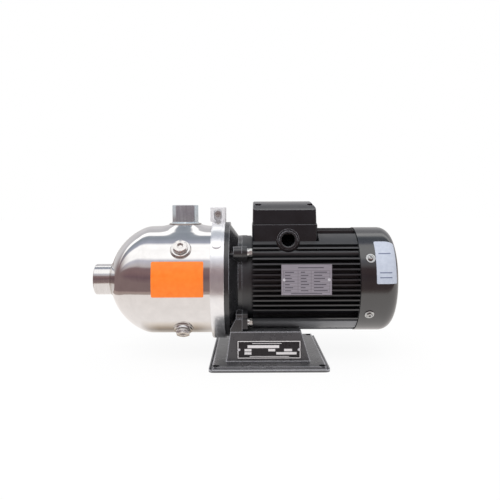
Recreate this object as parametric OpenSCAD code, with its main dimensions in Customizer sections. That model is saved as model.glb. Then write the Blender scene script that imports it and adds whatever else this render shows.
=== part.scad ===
// Horizontal multistage centrifugal pump, close-coupled to its fan-cooled motor.
// The inlet points to -X, the motor to +X, the outlet to +Z and the front to -Y.
// The origin is the centre of the four base bolts, on the floor.

/* [Overall] */
// Height of the shaft above the floor
shaft_height = 120; // [118:0.5:126]
// Length of the base plate along the shaft
base_length = 173; // [166:1:184]
// Width of the base plate across the shaft
base_width = 217; // [214:1:230]
// Thickness of the base plate
base_thickness = 6.8; // [6:0.1:9]
// Distance of the base bolts from the plate's ends along the shaft
bolt_edge_x = 10; // [8:0.5:12]
// Distance of the base bolts from the plate's ends across the shaft
bolt_edge_y = 11.5; // [10:0.5:15]
// Diameter of the base bolt holes
bolt_hole_d = 10; // [8:0.1:11]

/* [Casing] */
// Outside diameter of the drawn casing
casing_d = 168; // [166:0.5:169]
// Sheet thickness of the casing
casing_wall = 1.5; // [1.2:0.1:1.8]
// Distance from the tip of the dome to the first stage
dome_room = 34; // [32:0.5:42]
// Radius of the dome's crown
crown_radius = 88; // [86:0.5:96]
// Radius of the dome's knuckle
knuckle_radius = 40; // [34:1:44]
// Distance of the outlet from the casing flange
outlet_offset = 50.2; // [48:0.1:52]
// Height of the outlet's face above the shaft
outlet_height = 116.8; // [112:0.2:122]
// Size of the outlet socket across its flats
outlet_flats = 37.6; // [37:0.1:40]
// Drilled diameter of the outlet thread
outlet_thread_d = 30.3; // [28:0.1:31]
// Outside diameter of the inlet socket
inlet_d = 48.3; // [47:0.1:52]
// Drilled diameter of the inlet thread
inlet_thread_d = 39; // [36:0.1:40]
// Length of the inlet socket outside the dome
inlet_length = 28; // [24:0.5:34]
// Angle of the priming plug above the horizontal
priming_angle = 38; // [36:0.5:39]
// Angle of the drain plug below the horizontal
drain_angle = 55; // [50:0.5:60]
// Diameter of the welded plug bosses
plug_boss_d = 28; // [26:0.5:29]
// Drilled diameter of the plug threads
plug_thread_d = 15; // [13:0.1:15.4]

/* [Stages] */
// Length of one stage
stage_pitch = 24; // [23.6:0.1:24.4]
// Outside diameter of the impellers
impeller_d = 112; // [106:0.5:113]
// Outside diameter of the stage chambers
chamber_d = 128; // [126:0.5:129]
// Sheet thickness of the stage chambers
chamber_wall = 1.2; // [1:0.1:1.4]
// Diameter of the impeller's eye
eye_d = 40; // [38:0.5:42]
// Number of impeller blades
blade_count = 6; // [5:1:7]
// Number of guide vanes in a chamber
vane_count = 8; // [6:1:9]

/* [Clamp and bracket] */
// Outside diameter of the clamp band
clamp_d = 184.6; // [184:0.2:187]
// Width of the clamp band
clamp_width = 20; // [19.4:0.1:21]
// Sheet thickness of the clamp band
clamp_wall = 1.6; // [1.2:0.1:1.8]
// Outside diameter of the bracket's flange
bracket_d = 180; // [179:0.2:181]
// Diameter of the bracket's neck
neck_d = 138; // [136:0.5:140]
// Radius of the bolt circle that joins bracket and motor
flange_bolt_radius = 82; // [81:0.2:83]
// Angle of the upper flange bolts above the horizontal
upper_bolt_angle = 35; // [34:0.5:36]
// Angle of the lower flange bolts below the horizontal
lower_bolt_angle = 45; // [44:0.5:46]

/* [Motor] */
// Length of the finned housing
housing_length = 156.4; // [154:0.2:162]
// Diameter over the fins
fin_circle_d = 160; // [158:0.5:161]
// Wall thickness of the housing's barrel
barrel_wall = 6; // [5.5:0.1:7]
// Outside diameter of the stator core
stator_d = 120; // [118:0.5:121]
// Length of the stator core
stator_length = 70; // [60:1:74]
// Diameter of the rotor core
rotor_d = 70; // [66:0.5:72]
// Pitch of the side fins
side_fin_pitch = 7.6; // [7.4:0.05:7.7]
// Pitch of the top and bottom fins
end_fin_pitch = 10; // [9.6:0.1:10.4]
// Thickness of a fin
fin_thickness = 2.2; // [1.8:0.1:2.8]
// Diameter of the pump end of the shaft
shaft_d = 14; // [13.4:0.1:14.6]
// Outside diameter of the fan cover
fan_cover_d = 161.8; // [161:0.1:163]
// Length of the fan cover
fan_cover_length = 58.5; // [58:0.5:66]
// Radius of the fan cover's rear edge
fan_cover_edge = 20; // [14:0.5:22]
// Sheet thickness of the fan cover
fan_cover_wall = 1.4; // [1:0.1:1.6]
// Outside diameter of the cooling fan
fan_d = 124; // [110:1:128]

/* [Terminal box] */
// Length of the terminal box along the shaft
box_length = 97; // [96:0.5:99]
// Width of the terminal box across the shaft
box_width = 98; // [97:0.5:99]
// Height of the lid's joint above the shaft
box_joint_height = 87; // [86:0.2:90]
// Height of the lid's crown above its joint
lid_height = 35; // [33:0.2:37]
// Wall thickness of the terminal box
box_wall = 3; // [2.6:0.1:3.4]
// Diameter of the cable hole in the gland
gland_hole_d = 19.4; // [16:0.1:20]

/* [Plates] */
// Length of the motor nameplate
motor_plate_length = 73; // [68:0.5:76]
// Height of the motor nameplate
motor_plate_height = 44.5; // [42:0.5:46]
// Length of the pump nameplate
pump_plate_length = 94; // [88:0.5:96]
// Height of the pump nameplate
pump_plate_height = 27; // [24:0.5:28]

/* [Hidden] */
$fn = 72;
// running clearance on a radius
run_gap = 0.05;
// gap between neighbouring pieces that don't carry each other
near_gap = 0.3;
casing_r = casing_d / 2;
inner_r = casing_r - casing_wall;
bolt_spacing_x = base_length - 2 * bolt_edge_x;
bolt_spacing_y = base_width - 2 * bolt_edge_y;
// the plane where casing and seal cover meet
joint_x = -78;
// the stack of stages ends at its discharge side
stack_end = joint_x - 38;
stack_start = stack_end - 4 * stage_pitch;
apex_x = stack_start - dome_room;
crown_x = apex_x + crown_radius;
knuckle_r = casing_r - knuckle_radius;
knuckle_throw = crown_radius - knuckle_radius;
knuckle_x = crown_x - sqrt(pow(knuckle_throw, 2) - pow(knuckle_r, 2));
knuckle_turn = asin(knuckle_r / knuckle_throw);
flange_r = 89;
outlet_x = joint_x - outlet_offset;
collar_top = casing_r + 3;
collar_r = 25;
inlet_r = inlet_d / 2;
inlet_seat_x = crown_x - crown_radius * cos(asin((inlet_r + 0.6) / crown_radius));
inlet_face_x = inlet_seat_x - inlet_length;
spigot_r = inlet_thread_d / 2 + 2;
boss_r = plug_boss_d / 2;
boss_top = casing_r + 4;
plug_thread_r = plug_thread_d / 2;
washer_t = 1.2;
// the face of the seal cover, the rubbing plane of the seal and the start of its head
cover_face_x = joint_x - 14.2;
seal_x = joint_x - 18.8;
seal_start = seal_x - 15.7;
chamber_r = chamber_d / 2;
ring_r = eye_d / 2 + 1.4;
shaft_r = shaft_d / 2;
hub_r = 11;
clamp_r = clamp_d / 2;
clamp_x = joint_x + 3.5;
bracket_r = bracket_d / 2;
neck_r = neck_d / 2;
shield_x = -38.5;
recess_x = -30.9;
housing_x = -22.9;
housing_end = housing_x + housing_length;
fin_r = fin_circle_d / 2;
bore_r = stator_d / 2;
barrel_r = bore_r + barrel_wall;
core_x = 20;
core_end = core_x + stator_length;
rotor_r = rotor_d / 2;
tie_points = [[-56.5, 44], [56.5, 44], [-41, -59], [41, -59]];
tie_r = 2.5;
// places of the flange bolts across the shaft
bolt_places = [for (s = [-1, 1], a = [upper_bolt_angle, -lower_bolt_angle])
    [s * flange_bolt_radius * cos(a), flange_bolt_radius * sin(a)]];
// drive end bearing, 20 x 47 x 14
drive_bearing_x = -20;
drive_bearing_w = 14;
drive_bearing_r = 23.5;
drive_journal_r = 10;
// fan end bearing, 17 x 40 x 12
fan_bearing_w = 12;
fan_bearing_x = housing_end - 13.5;
fan_bearing_r = 20;
fan_journal_r = 8.5;
fan_seat_r = 7;
cover_x = housing_end;
cover_end = cover_x + fan_cover_length;
cover_r = fan_cover_d / 2;
cover_screw_x = cover_x + 15.4;
cover_screw_angles = [28, -34];
fan_r = fan_d / 2;
box_x = 25.6;
box_base = barrel_r - 22;
box_front = box_width / 2;
// places of the lid's four screws
lid_screw_places = [for (x = [-1, 1], y = [-1, 1])
    [box_x + x * (box_length / 2 - 9), y * (box_width / 2 - 18)]];
// thickness of the box's floor over the barrel
box_floor = 2;
gland_x = 30;
gland_z = 64.5;
// the bracket's shoulders stand on the pedestal, this far below the shaft
shoulder_drop = 70;
pedestal_top = shaft_height - shoulder_drop;
pedestal_half = 70;
// bolts that hold the bracket to the foot, and the face their heads sit on
foot_bolt_x = -44;
foot_bolt_y = 50;
foot_bolt_r = 4;
foot_bolt_seat = pedestal_top - 12;
pedestal_foot = 74.5;
plate_tilt = atan((pedestal_foot - pedestal_half) / (pedestal_top - base_thickness));

// Places what is drawn about the shaft at the shaft's real height.
module on_axis() {
    translate([0, 0, shaft_height])
        children();
}

// Turns a profile of [x, radius] points about the shaft.
module turned(points) {
    rotate([0, 90, 0])
        rotate_extrude()
            polygon([for (p = points) [p[1], p[0]]]);
}

// A round bar along the shaft.
module rod(x0, x1, r) {
    translate([x0, 0, 0])
        rotate([0, 90, 0])
            cylinder(h = x1 - x0, r = r);
}

// A ring along the shaft.
module ring(x0, x1, r_out, r_in) {
    difference() {
        rod(x0, x1, r_out);
        rod(x0 - 1, x1 + 1, r_in);
    }
}

// Pushes a flat section, drawn as [y, z], along the shaft.
module along_x(x0, x1) {
    translate([x0, 0, 0])
        rotate([90, 0, 90])
            linear_extrude(x1 - x0)
                children();
}

// Turns what points up so that it points out of the front, a above the horizontal.
module out_front(x, a) {
    translate([x, 0, 0])
        rotate([90 - a, 0, 0])
            children();
}

// A hexagon by its size across flats.
module hexagon(flats, h) {
    cylinder(h = h, r = flats / 2 / cos(30), $fn = 6);
}

// A flat rectangle with round corners, centred.
module round_rect(l, w, r) {
    square([l - 2 * r, w], center = true);
    square([l, w - 2 * r], center = true);
    for (x = [-1, 1], y = [-1, 1])
        translate([x * (l / 2 - r), y * (w / 2 - r)])
            circle(r);
}

// Points of the dome from its tip to the casing's straight part.
function dome_line(t) = concat(
    [for (i = [0 : 12]) let (f = i * knuckle_turn / 12)
        [crown_x - (crown_radius - t) * cos(f), (crown_radius - t) * sin(f)]],
    [for (i = [1 : 6]) let (f = knuckle_turn + i * (90 - knuckle_turn) / 6)
        [knuckle_x - (knuckle_radius - t) * cos(f), knuckle_r + (knuckle_radius - t) * sin(f)]]);

function reversed(v) = [for (i = [len(v) - 1 : -1 : 0]) v[i]];

// The collar that is pulled out of the casing's side for the outlet.
module collar(t) {
    translate([outlet_x, 0, 0])
        rotate_extrude()
            polygon([[0, 40], [45 - t, 40], [45 - t, casing_r - 22 - t], [39.5 - t, casing_r - 11.6],
                [34 - t, casing_r - 4.2 - t / 2], [29 - t, casing_r + 0.6 - t],
                [collar_r - t, collar_top - t], [collar_r - t, collar_top + t], [0, collar_top + t]]);
}

// Drawn casing: dome, barrel, pulled collar and clamp flange in one sheet.
module pump_casing() {
    color("Silver") on_axis() difference() {
        union() {
            turned(concat(dome_line(0), [[joint_x - 2, casing_r], [joint_x - 2, flange_r],
                [joint_x, flange_r], [joint_x, 0]]));
            intersection() {
                collar(0);
                translate([outlet_x, 0, 80])
                    cube([100, 100, 2 * (collar_top - 80)], center = true);
            }
        }
        turned(concat(dome_line(casing_wall), [[joint_x + 1, inner_r], [joint_x + 1, 0]]));
        collar(casing_wall);
        rod(apex_x - 5, apex_x + 20, spigot_r + near_gap);
        for (a = [priming_angle, -drain_angle])
            out_front(outlet_x, a)
                cylinder(h = 200, r = boss_r - 2);
    }
}

// Turned inlet socket with its internal pipe thread, welded to the dome.
module inlet_socket() {
    color("Gainsboro") on_axis()
        turned([[inlet_face_x, inlet_thread_d / 2 + 1.8], [inlet_face_x, inlet_r - 1],
            [inlet_face_x + 1, inlet_r], [inlet_seat_x - 2.2, inlet_r],
            [inlet_seat_x - 0.7, inlet_r + 1.4],
            [crown_x - (crown_radius + 0.05) * cos(asin(spigot_r / crown_radius)), spigot_r],
            [apex_x + 6, spigot_r], [apex_x + 6, inlet_thread_d / 2],
            [inlet_face_x + 1.8, inlet_thread_d / 2]]);
}

// Eight-sided outlet socket with its internal pipe thread, welded to the collar.
module outlet_socket() {
    color("Gainsboro") on_axis() translate([outlet_x, 0, 0]) difference() {
        union() {
            translate([0, 0, collar_top + 1])
                rotate([0, 0, -85])
                    cylinder(h = outlet_height - collar_top - 1, r = outlet_flats / 2 / cos(22.5), $fn = 8);
            rotate_extrude()
                polygon([[0, collar_top - 3], [collar_r - casing_wall - near_gap, collar_top - 3],
                    [collar_r - casing_wall - near_gap, collar_top + 0.02], [collar_r, collar_top + 0.02],
                    [collar_r, collar_top + 1], [collar_r - 2, collar_top + 2.4], [0, collar_top + 2.4]]);
        }
        translate([0, 0, collar_top - 4])
            cylinder(h = 60, r = outlet_thread_d / 2);
        translate([0, 0, outlet_height - 1.5])
            cylinder(h = 2, r1 = outlet_thread_d / 2, r2 = outlet_thread_d / 2 + 2);
    }
}

module plug_boss() {
    difference() {
        union() {
            translate([0, 0, casing_r - 3.5])
                cylinder(h = boss_top - casing_r + 3.5, r = boss_r - 2 - near_gap);
            translate([0, 0, casing_r - 3.5])
                cylinder(h = boss_top - casing_r + 3.5, r = boss_r);
        }
        translate([0, 0, 40])
            cylinder(h = 100, r = plug_thread_r);
    }
}

// Two welded bosses that take the priming plug and the drain plug.
module plug_bosses() {
    color("Gainsboro") on_axis()
        for (a = [priming_angle, -drain_angle])
            difference() {
                out_front(outlet_x, a)
                    plug_boss();
                intersection() {
                    rod(outlet_x - 30, outlet_x + 30, casing_r + 0.02);
                    out_front(outlet_x, a)
                        difference() {
                            cylinder(h = 200, r = 40);
                            translate([0, 0, -1])
                                cylinder(h = 210, r = boss_r - 2 - near_gap);
                        }
                }
            }
}

module plug_body() {
    translate([0, 0, boss_top + washer_t])
        difference() {
            union() {
                cylinder(h = 1.5, r = 11);
                translate([0, 0, 1.2])
                    hexagon(19, 4.2);
            }
            translate([0, 0, 2.4])
                hexagon(8, 10);
        }
    translate([0, 0, boss_top - 8])
        cylinder(h = 9 + washer_t, r = plug_thread_r - run_gap);
}

module plug_washer() {
    translate([0, 0, boss_top])
        difference() {
            cylinder(h = washer_t, r = 11.2);
            translate([0, 0, -1])
                cylinder(h = 9, r = plug_thread_r + near_gap);
        }
}

// Priming plug: it is unscrewed to fill the pump with water.
module priming_plug() {
    color("LightGray") on_axis() out_front(outlet_x, priming_angle) plug_body();
}

// Sealing washer under the priming plug's head.
module priming_washer() {
    color("Peru") on_axis() out_front(outlet_x, priming_angle) plug_washer();
}

// Drain plug: it is unscrewed to empty the pump against frost.
module drain_plug() {
    color("LightGray") on_axis() out_front(outlet_x, -drain_angle) plug_body();
}

// Sealing washer under the drain plug's head.
module drain_washer() {
    color("Peru") on_axis() out_front(outlet_x, -drain_angle) plug_washer();
}

// Suction cover: leads the water from the inlet into the first impeller's eye.
module inlet_cover() {
    tube_r = 26;
    tube_end = crown_x - (crown_radius - casing_wall - near_gap) * cos(asin(tube_r / crown_radius));
    color("LightSteelBlue") on_axis()
        turned([[tube_end, tube_r - chamber_wall], [tube_end, tube_r], [stack_start - 8, tube_r],
            [stack_start - chamber_wall, tube_r + 8], [stack_start - chamber_wall, chamber_r],
            [stack_start, chamber_r], [stack_start, ring_r + 2.4],
            [stack_start - 1.6, ring_r + 2.4], [stack_start - 9, tube_r - chamber_wall]]);
}

// One guide vane: a strip of a circle's edge that leads the water inwards.
module guide_vane() {
    intersection() {
        translate([30, 28])
            difference() {
                circle(34.7);
                circle(33.3);
            }
        difference() {
            circle(chamber_r - chamber_wall - 0.5);
            circle(27);
        }
        translate([20, -60])
            square([90, 60]);
    }
}

// Chamber of one stage, open towards the inlet: wall, partition and guide vanes.
module stage_chamber(i, last) {
    x0 = stack_start + i * stage_pitch;
    x1 = x0 + stage_pitch;
    vane_w = 7;
    eye = last ? 15 : ring_r + 2.4;
    difference() {
        union() {
            ring(x0 + 0.02, x1 - 0.02, chamber_r, chamber_r - chamber_wall);
            ring(x1 - chamber_wall, x1 - 0.02, chamber_r - 0.4, eye);
            ring(x1 - chamber_wall - vane_w - 1, x1 - chamber_wall - vane_w, chamber_r - 8, 13);
            for (k = [0 : vane_count - 1])
                rotate([k * 360 / vane_count, 0, 0])
                    along_x(x1 - chamber_wall - vane_w - 0.5, x1 - chamber_wall + 0.3)
                        guide_vane();
        }
        if (last)
            for (k = [0 : 7])
                rotate([k * 45, 0, 0])
                    translate([x1 - 3, 0, 42])
                        rotate([0, 90, 0])
                            cylinder(h = 8, r = 9);
    }
}

// First stage chamber.
module stage_chamber_1() {
    color("LightSteelBlue") on_axis() stage_chamber(0, false);
}

// Second stage chamber.
module stage_chamber_2() {
    color("LightSteelBlue") on_axis() stage_chamber(1, false);
}

// Third stage chamber.
module stage_chamber_3() {
    color("LightSteelBlue") on_axis() stage_chamber(2, false);
}

// Last chamber: it lets the water out round the stack and stands on the seal cover.
module discharge_chamber() {
    color("LightSteelBlue") on_axis() {
        stage_chamber(3, true);
        for (k = [0 : 3])
            rotate([45 + 90 * k, 0, 0])
                translate([stack_end - chamber_wall / 2, -9, chamber_r - 4])
                    cube([cover_face_x - 0.2 - stack_end + chamber_wall / 2, 18, 2.2]);
    }
}

// Floating neck rings in which the impellers' eyes turn.
module neck_rings() {
    color("Ivory") on_axis()
        for (i = [0 : 3])
            translate([stack_start + i * stage_pitch, 0, 0])
                turned([[-chamber_wall, ring_r + 2.38], [-chamber_wall, ring_r + run_gap],
                    [1.6, ring_r + run_gap], [1.6, ring_r + 4], [0.02, ring_r + 4], [0.02, ring_r + 2.38]]);
}

// Rubber ring that seals the casing's mouth.
module casing_o_ring() {
    color("DimGray") on_axis() rotate([0, 90, 0])
        translate([0, 0, joint_x - 3.4])
            rotate_extrude()
                translate([inner_r - 2, 0])
                    circle(1.6);
}

// Pressed cover that closes the casing towards the motor and holds the seal.
module seal_cover() {
    wall_r = inner_r - 4;
    color("LightSteelBlue") on_axis()
        turned([[joint_x + 0.02, flange_r - 0.5], [joint_x + 2, flange_r - 0.5],
            [joint_x + 2, wall_r - 1.8], [cover_face_x + 1.8, wall_r - 1.8], [cover_face_x + 1.8, 30],
            [cover_face_x + 8.2, 27], [cover_face_x + 8.2, 16.6], [seal_x - 0.2, 16.6],
            [seal_x - 0.2, 24.6], [cover_face_x, 26.6], [cover_face_x, wall_r],
            [joint_x - 1.4, wall_r], [joint_x - 1.4, inner_r - 0.4], [joint_x + 0.02, inner_r - 0.4]]);
}

// Fixed ceramic ring of the mechanical seal with its rubber cup.
module seal_seat() {
    color("White") on_axis()
        turned([[seal_x, 9], [seal_x, 15], [seal_x + 0.4, 16.4], [seal_x + 8.4, 16.4],
            [seal_x + 8.8, 15], [seal_x + 8.8, 9]]);
}

// Turning half of the mechanical seal: carbon ring, shell, spring and collar.
module seal_head() {
    color("SlateGray") on_axis() {
        ring(seal_x - 5.2, seal_x - 0.02, 14, shaft_r + 3);
        ring(seal_x - 7.7, seal_x - 5.2, 15, shaft_r + run_gap);
        for (k = [0 : 2])
            rotate([0, 90, 0])
                translate([0, 0, seal_x - 12.8 + 2.2 * k])
                    rotate_extrude()
                        translate([12.5, 0])
                            circle(0.9);
        ring(seal_start, seal_start + 1.9, 14, shaft_r + run_gap);
    }
}

// One blade: a strip of a circle's edge from the eye to the rim.
module blade(w) {
    intersection() {
        translate([17, 27])
            difference() {
                circle(38.7);
                circle(37.3);
            }
        difference() {
            circle(impeller_d / 2 - 0.4);
            circle(eye_d / 2 + 2);
        }
        translate([8, -70])
            square([90, 80]);
    }
}

// Closed impeller of one stage: eye, two shrouds, hub and blades between them.
module impeller(i) {
    x0 = stack_start + i * stage_pitch;
    rim = impeller_d / 2;
    eye = eye_d / 2;
    on_axis() {
        difference() {
            union() {
                turned([[x0 - chamber_wall, eye], [x0 - chamber_wall, ring_r], [x0 + 2.6, ring_r],
                    [x0 + 4.4, rim], [x0 + 5.4, rim], [x0 + 4, ring_r + 3], [x0 + 3.6, eye]]);
                turned([[x0 + 10.8, 10], [x0 + 10.8, rim], [x0 + 11.8, rim], [x0 + 11.8, 10]]);
                rod(x0 + 2, x0 + 13, hub_r);
                for (k = [0 : blade_count - 1])
                    rotate([k * 360 / blade_count, 0, 0])
                        along_x(x0 + 4.2, x0 + 11)
                            blade();
            }
            rod(x0 - 9, x0 + 30, shaft_r + run_gap);
            turned([[x0 - 9, ring_r + 0.2], [x0 - 9, rim + 9], [x0 + 4.4, rim + 9], [x0 + 4.4, rim],
                [x0 + 2.6, ring_r + 0.2]]);
        }
    }
}

// Impeller of the first stage.
module impeller_1() {
    color("Khaki") impeller(0);
}

// Impeller of the second stage.
module impeller_2() {
    color("Khaki") impeller(1);
}

// Impeller of the third stage.
module impeller_3() {
    color("Khaki") impeller(2);
}

// Impeller of the fourth stage.
module impeller_4() {
    color("Khaki") impeller(3);
}

// Sleeves that hold the impellers apart on the shaft, and the sleeve up to the seal.
module spacer_sleeves() {
    color("Tan") on_axis() {
        for (i = [0 : 2])
            ring(stack_start + i * stage_pitch + 13, stack_start + (i + 1) * stage_pitch + 2,
                10, shaft_r + run_gap);
        ring(stack_start + 3 * stage_pitch + 13, seal_start, 10, shaft_r + run_gap);
    }
}

// Nut and lock washer that clamp the impellers on the shaft.
module shaft_nut() {
    color("DarkGray") on_axis() {
        ring(stack_start - 0.2, stack_start + 2, 9.6, shaft_r + run_gap);
        difference() {
            translate([stack_start - 8.2, 0, 0])
                rotate([0, 90, 0])
                    hexagon(17, 8);
            rod(stack_start - 20, stack_start + 9, 5 + run_gap);
        }
    }
}

// Stainless clamp band with two legs, its ears and the straps that carry them.
module clamp_band() {
    x0 = clamp_x - clamp_width / 2;
    x1 = clamp_x + clamp_width / 2;
    ear_base = clamp_r - 1.3;
    ear_top = 113;
    color("Silver") on_axis() {
        difference() {
            turned([[x0, clamp_r - clamp_wall], [x0, clamp_r], [x1, clamp_r], [x1, clamp_r - clamp_wall],
                [-68.2, clamp_r - clamp_wall], [-68.2, 86.2], [-70.4, 86.2], [-70.4, clamp_r - clamp_wall],
                [joint_x - 2.1, clamp_r - clamp_wall], [joint_x - 2.1, 86.2], [joint_x - 4.4, 86.2],
                [joint_x - 4.4, clamp_r - clamp_wall]]);
            translate([-100, -6, 60])
                cube([60, 12, 60]);
        }
        for (s = [-1, 1]) {
            // strap on the band, from the ear down the side to a round end
            intersection() {
                ring(-83.5, -67.5, clamp_r + 1.4, clamp_r - 0.3);
                union() {
                    along_x(-83.2, -68.2)
                        polygon([[s * 12.5, s * s * 9.1], [s * 140, 98], [s * 140, 150], [s * 12.5, 150]]);
                    translate([-75.7, 0, 0])
                        rotate([-s * 55, 0, 0])
                            cylinder(h = 200, r = 7.5);
                }
            }
            // ear plate with its window, and the cross wall the bolt pulls on
            difference() {
                translate([-88, s > 0 ? 12 : -14, ear_base])
                    cube([23.5, 2, ear_top - ear_base]);
                translate([-76.25, 20, 100.4])
                    rotate([90, 0, 0])
                        linear_extrude(40)
                            round_rect(12, 19, 4);
            }
            difference() {
                translate([-88, s > 0 ? 5.5 : -7.5, ear_base])
                    cube([23.5, 2, 19]);
                translate([-76.25, 20, 103])
                    rotate([90, 0, 0])
                        cylinder(h = 40, r = 3.3);
            }
            for (x = [-88, -66.5])
                translate([x, s > 0 ? 6 : -14, ear_base])
                    cube([2, 8, ear_top - ear_base]);
        }
        translate([-84.5, -7, -clamp_r - 1.2])
            cube([20, 14, 3]);
    }
}

// Socket-head bolt that pulls the clamp band tight.
module clamp_bolt() {
    color("DarkGray") on_axis() translate([-76.25, 0, 103]) rotate([90, 0, 0]) {
        difference() {
            translate([0, 0, 7.52])
                cylinder(h = 6, r = 5);
            translate([0, 0, 10.5])
                hexagon(5, 10);
        }
        translate([0, 0, -16])
            cylinder(h = 24, r = 3);
    }
}

// Nut of the clamp bolt.
module clamp_nut() {
    color("DarkGray") on_axis() translate([-76.25, 12.6, 103]) rotate([90, 0, 0])
        difference() {
            hexagon(10, 5);
            translate([0, 0, -1])
                cylinder(h = 9, r = 3 + run_gap);
        }
}

// Outline of the shoulders under the neck that the lower flange bolts go through.
module shoulder_outline(bottom) {
    polygon([[-70, bottom], [-70, -51.5], [-67.6, -50], [-67.6, -44.8], [-66.6, -43.8], [-50, -37],
        [50, -37], [66.6, -43.8], [67.6, -44.8], [67.6, -50], [70, -51.5], [70, bottom]]);
}

// One upper ear for a flange bolt.
module upper_ear(x0, x1, s) {
    turn = s < 0 ? 180 - upper_bolt_angle : upper_bolt_angle;
    along_x(x0, x1)
        rotate(turn) {
            translate([flange_bolt_radius, 0])
                circle(9);
            translate([63, -8])
                square([flange_bolt_radius - 63, 16]);
        }
}

// Cast bracket between the pump and the motor.
module bracket() {
    color("DarkSlateGray") on_axis() difference() {
        union() {
            turned([[joint_x + 2.02, 0], [joint_x + 2.02, flange_r], [-70.5, flange_r], [-70.5, 85.5],
                [-65, 85.5], [-65, bracket_r], [-57.2, bracket_r], [-57.2, 86], [-44.7, neck_r - 0.5],
                [shield_x, neck_r], [shield_x, 0]]);
            // shoulders that widen towards the pedestal
            intersection() {
                along_x(-60, shield_x)
                    shoulder_outline(-shoulder_drop);
                translate([0, 100, 0])
                    rotate([90, 0, 0])
                        linear_extrude(200)
                            polygon([[-47.8, -30], [-47.8, -50.5], [-56.5, -66], [-56.5, -80],
                                [-30, -80], [-30, -30]]);
            }
            for (s = [-1, 1])
                upper_ear(-51, shield_x, s);
        }
        turned([[-80, 0], [-80, 77], [-58, 77], [-48, 62], [shield_x - 5, 60], [shield_x - 5, 30],
            [shield_x + 5, 30], [shield_x + 5, 0]]);
        for (p = bolt_places)
            translate([0, p[0], p[1]])
                rod(-60, -30, 3 + run_gap);
        for (y = [-foot_bolt_y, foot_bolt_y])
            translate([foot_bolt_x, y, -shoulder_drop - 10])
                cylinder(h = 26, r = foot_bolt_r + run_gap);
    }
}

// Cast foot: base plate and hollow pedestal that carries the bracket.
module foot() {
    low_x = -62.5;
    high_x = 61.2;
    color("DarkSlateGray") difference() {
        union() {
            linear_extrude(base_thickness)
                round_rect(base_length, base_width, 8);
            intersection() {
                translate([0, 120, 0])
                    rotate([90, 0, 0])
                        linear_extrude(240)
                            polygon([[low_x, 2], [high_x, 2], [high_x, base_thickness],
                                [48.5, pedestal_top], [-56.5, pedestal_top], [low_x, base_thickness]]);
                along_x(-90, 90)
                    polygon([[-pedestal_foot, 2], [pedestal_foot, 2], [pedestal_foot, base_thickness],
                        [pedestal_half, pedestal_top], [-pedestal_half, pedestal_top],
                        [-pedestal_foot, base_thickness]]);
            }
        }
        // bevel round the top of the base plate
        for (s = [-1, 1]) {
            translate([0, s * base_width / 2, base_thickness])
                rotate([s * 28, 0, 0])
                    cube([base_length + 20, 12, 4.4], center = true);
            translate([s * base_length / 2, 0, base_thickness])
                rotate([0, -s * 28, 0])
                    cube([12, base_width + 20, 4.4], center = true);
        }
        // saddle under the motor, and room for the bracket's cone
        on_axis() {
            rod(recess_x - 8, 90, fin_r + 1);
            turned([[-90, 0], [-90, bracket_r + 2], [-54.8, bracket_r + 2], [-54.8, 87],
                [-43.7, neck_r + 1.5], [-20, neck_r + 1.5], [-20, 0]]);
        }
        // the hollow under the pedestal
        translate([0, 0, -1])
            linear_extrude(pedestal_top - 24)
                translate([-4, 0])
                    round_rect(100, 128, 6);
        for (y = [-foot_bolt_y, foot_bolt_y])
            translate([4, y, pedestal_top - 30])
                linear_extrude(20)
                    round_rect(68, 22, 5);
        for (x = [-1, 1], y = [-1, 1])
            translate([x * bolt_spacing_x / 2, y * bolt_spacing_y / 2, -1])
                cylinder(h = 20, r = bolt_hole_d / 2);
        for (y = [-foot_bolt_y, foot_bolt_y])
            translate([foot_bolt_x, y, -1]) {
                cylinder(h = pedestal_top + 10, r = foot_bolt_r + 0.5);
                cylinder(h = foot_bolt_seat + 1, r = 8);
            }
    }
}

// Hexagon bolts with washers that hold the motor's flange to the bracket.
module flange_bolts() {
    color("Gainsboro") on_axis()
        for (p = bolt_places)
            translate([0, p[0], p[1]]) {
                rod(shield_x - 9.5, recess_x + 1, 3);
                rod(recess_x + 0.02, recess_x + 1.6, 6);
                rod(recess_x + 1.6, recess_x + 3, 5);
                translate([recess_x + 3, 0, 0])
                    rotate([0, 90, 0])
                        hexagon(10, 4.2);
            }
}

// Bolts that hold the bracket to the foot from below.
module foot_bolts() {
    color("DarkGray")
        for (y = [-foot_bolt_y, foot_bolt_y])
            translate([foot_bolt_x, y, foot_bolt_seat]) {
                translate([0, 0, -5.6])
                    hexagon(12, 5.58);
                translate([0, 0, -1])
                    cylinder(h = 27, r = foot_bolt_r);
            }
}

// Half section of the housing: barrel and fins, with the corner bands and tie bolt ribs.
module housing_outline() {
    difference() {
        union() {
            circle(barrel_r);
            intersection() {
                circle(fin_r);
                union() {
                    for (k = [-5 : 5])
                        translate([0, k * side_fin_pitch])
                            square([2 * fin_r, fin_thickness], center = true);
                    for (z = [-52.8, 52.8])
                        translate([0, z])
                            square([2 * fin_r, fin_thickness], center = true);
                    for (k = [-2 : 2])
                        translate([k * end_fin_pitch, 0])
                            square([fin_thickness, 2 * fin_r], center = true);
                }
            }
            intersection() {
                circle(fin_r - 0.8);
                for (s = [-1, 1])
                    polygon([[0, 0], [s * 100, 107], [s * 100, 225]]);
            }
            intersection() {
                circle(fin_r - 0.8);
                for (s = [-1, 1])
                    polygon([[0, 0], [s * 100, -107], [s * 100, -225]]);
            }
            for (p = tie_points)
                translate(p)
                    circle(5.5);
        }
        circle(bore_r);
        for (p = tie_points)
            translate(p)
                circle(tie_r + near_gap);
        for (y = [-41, 41])
            translate([y, 59])
                circle(4);
    }
}

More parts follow.
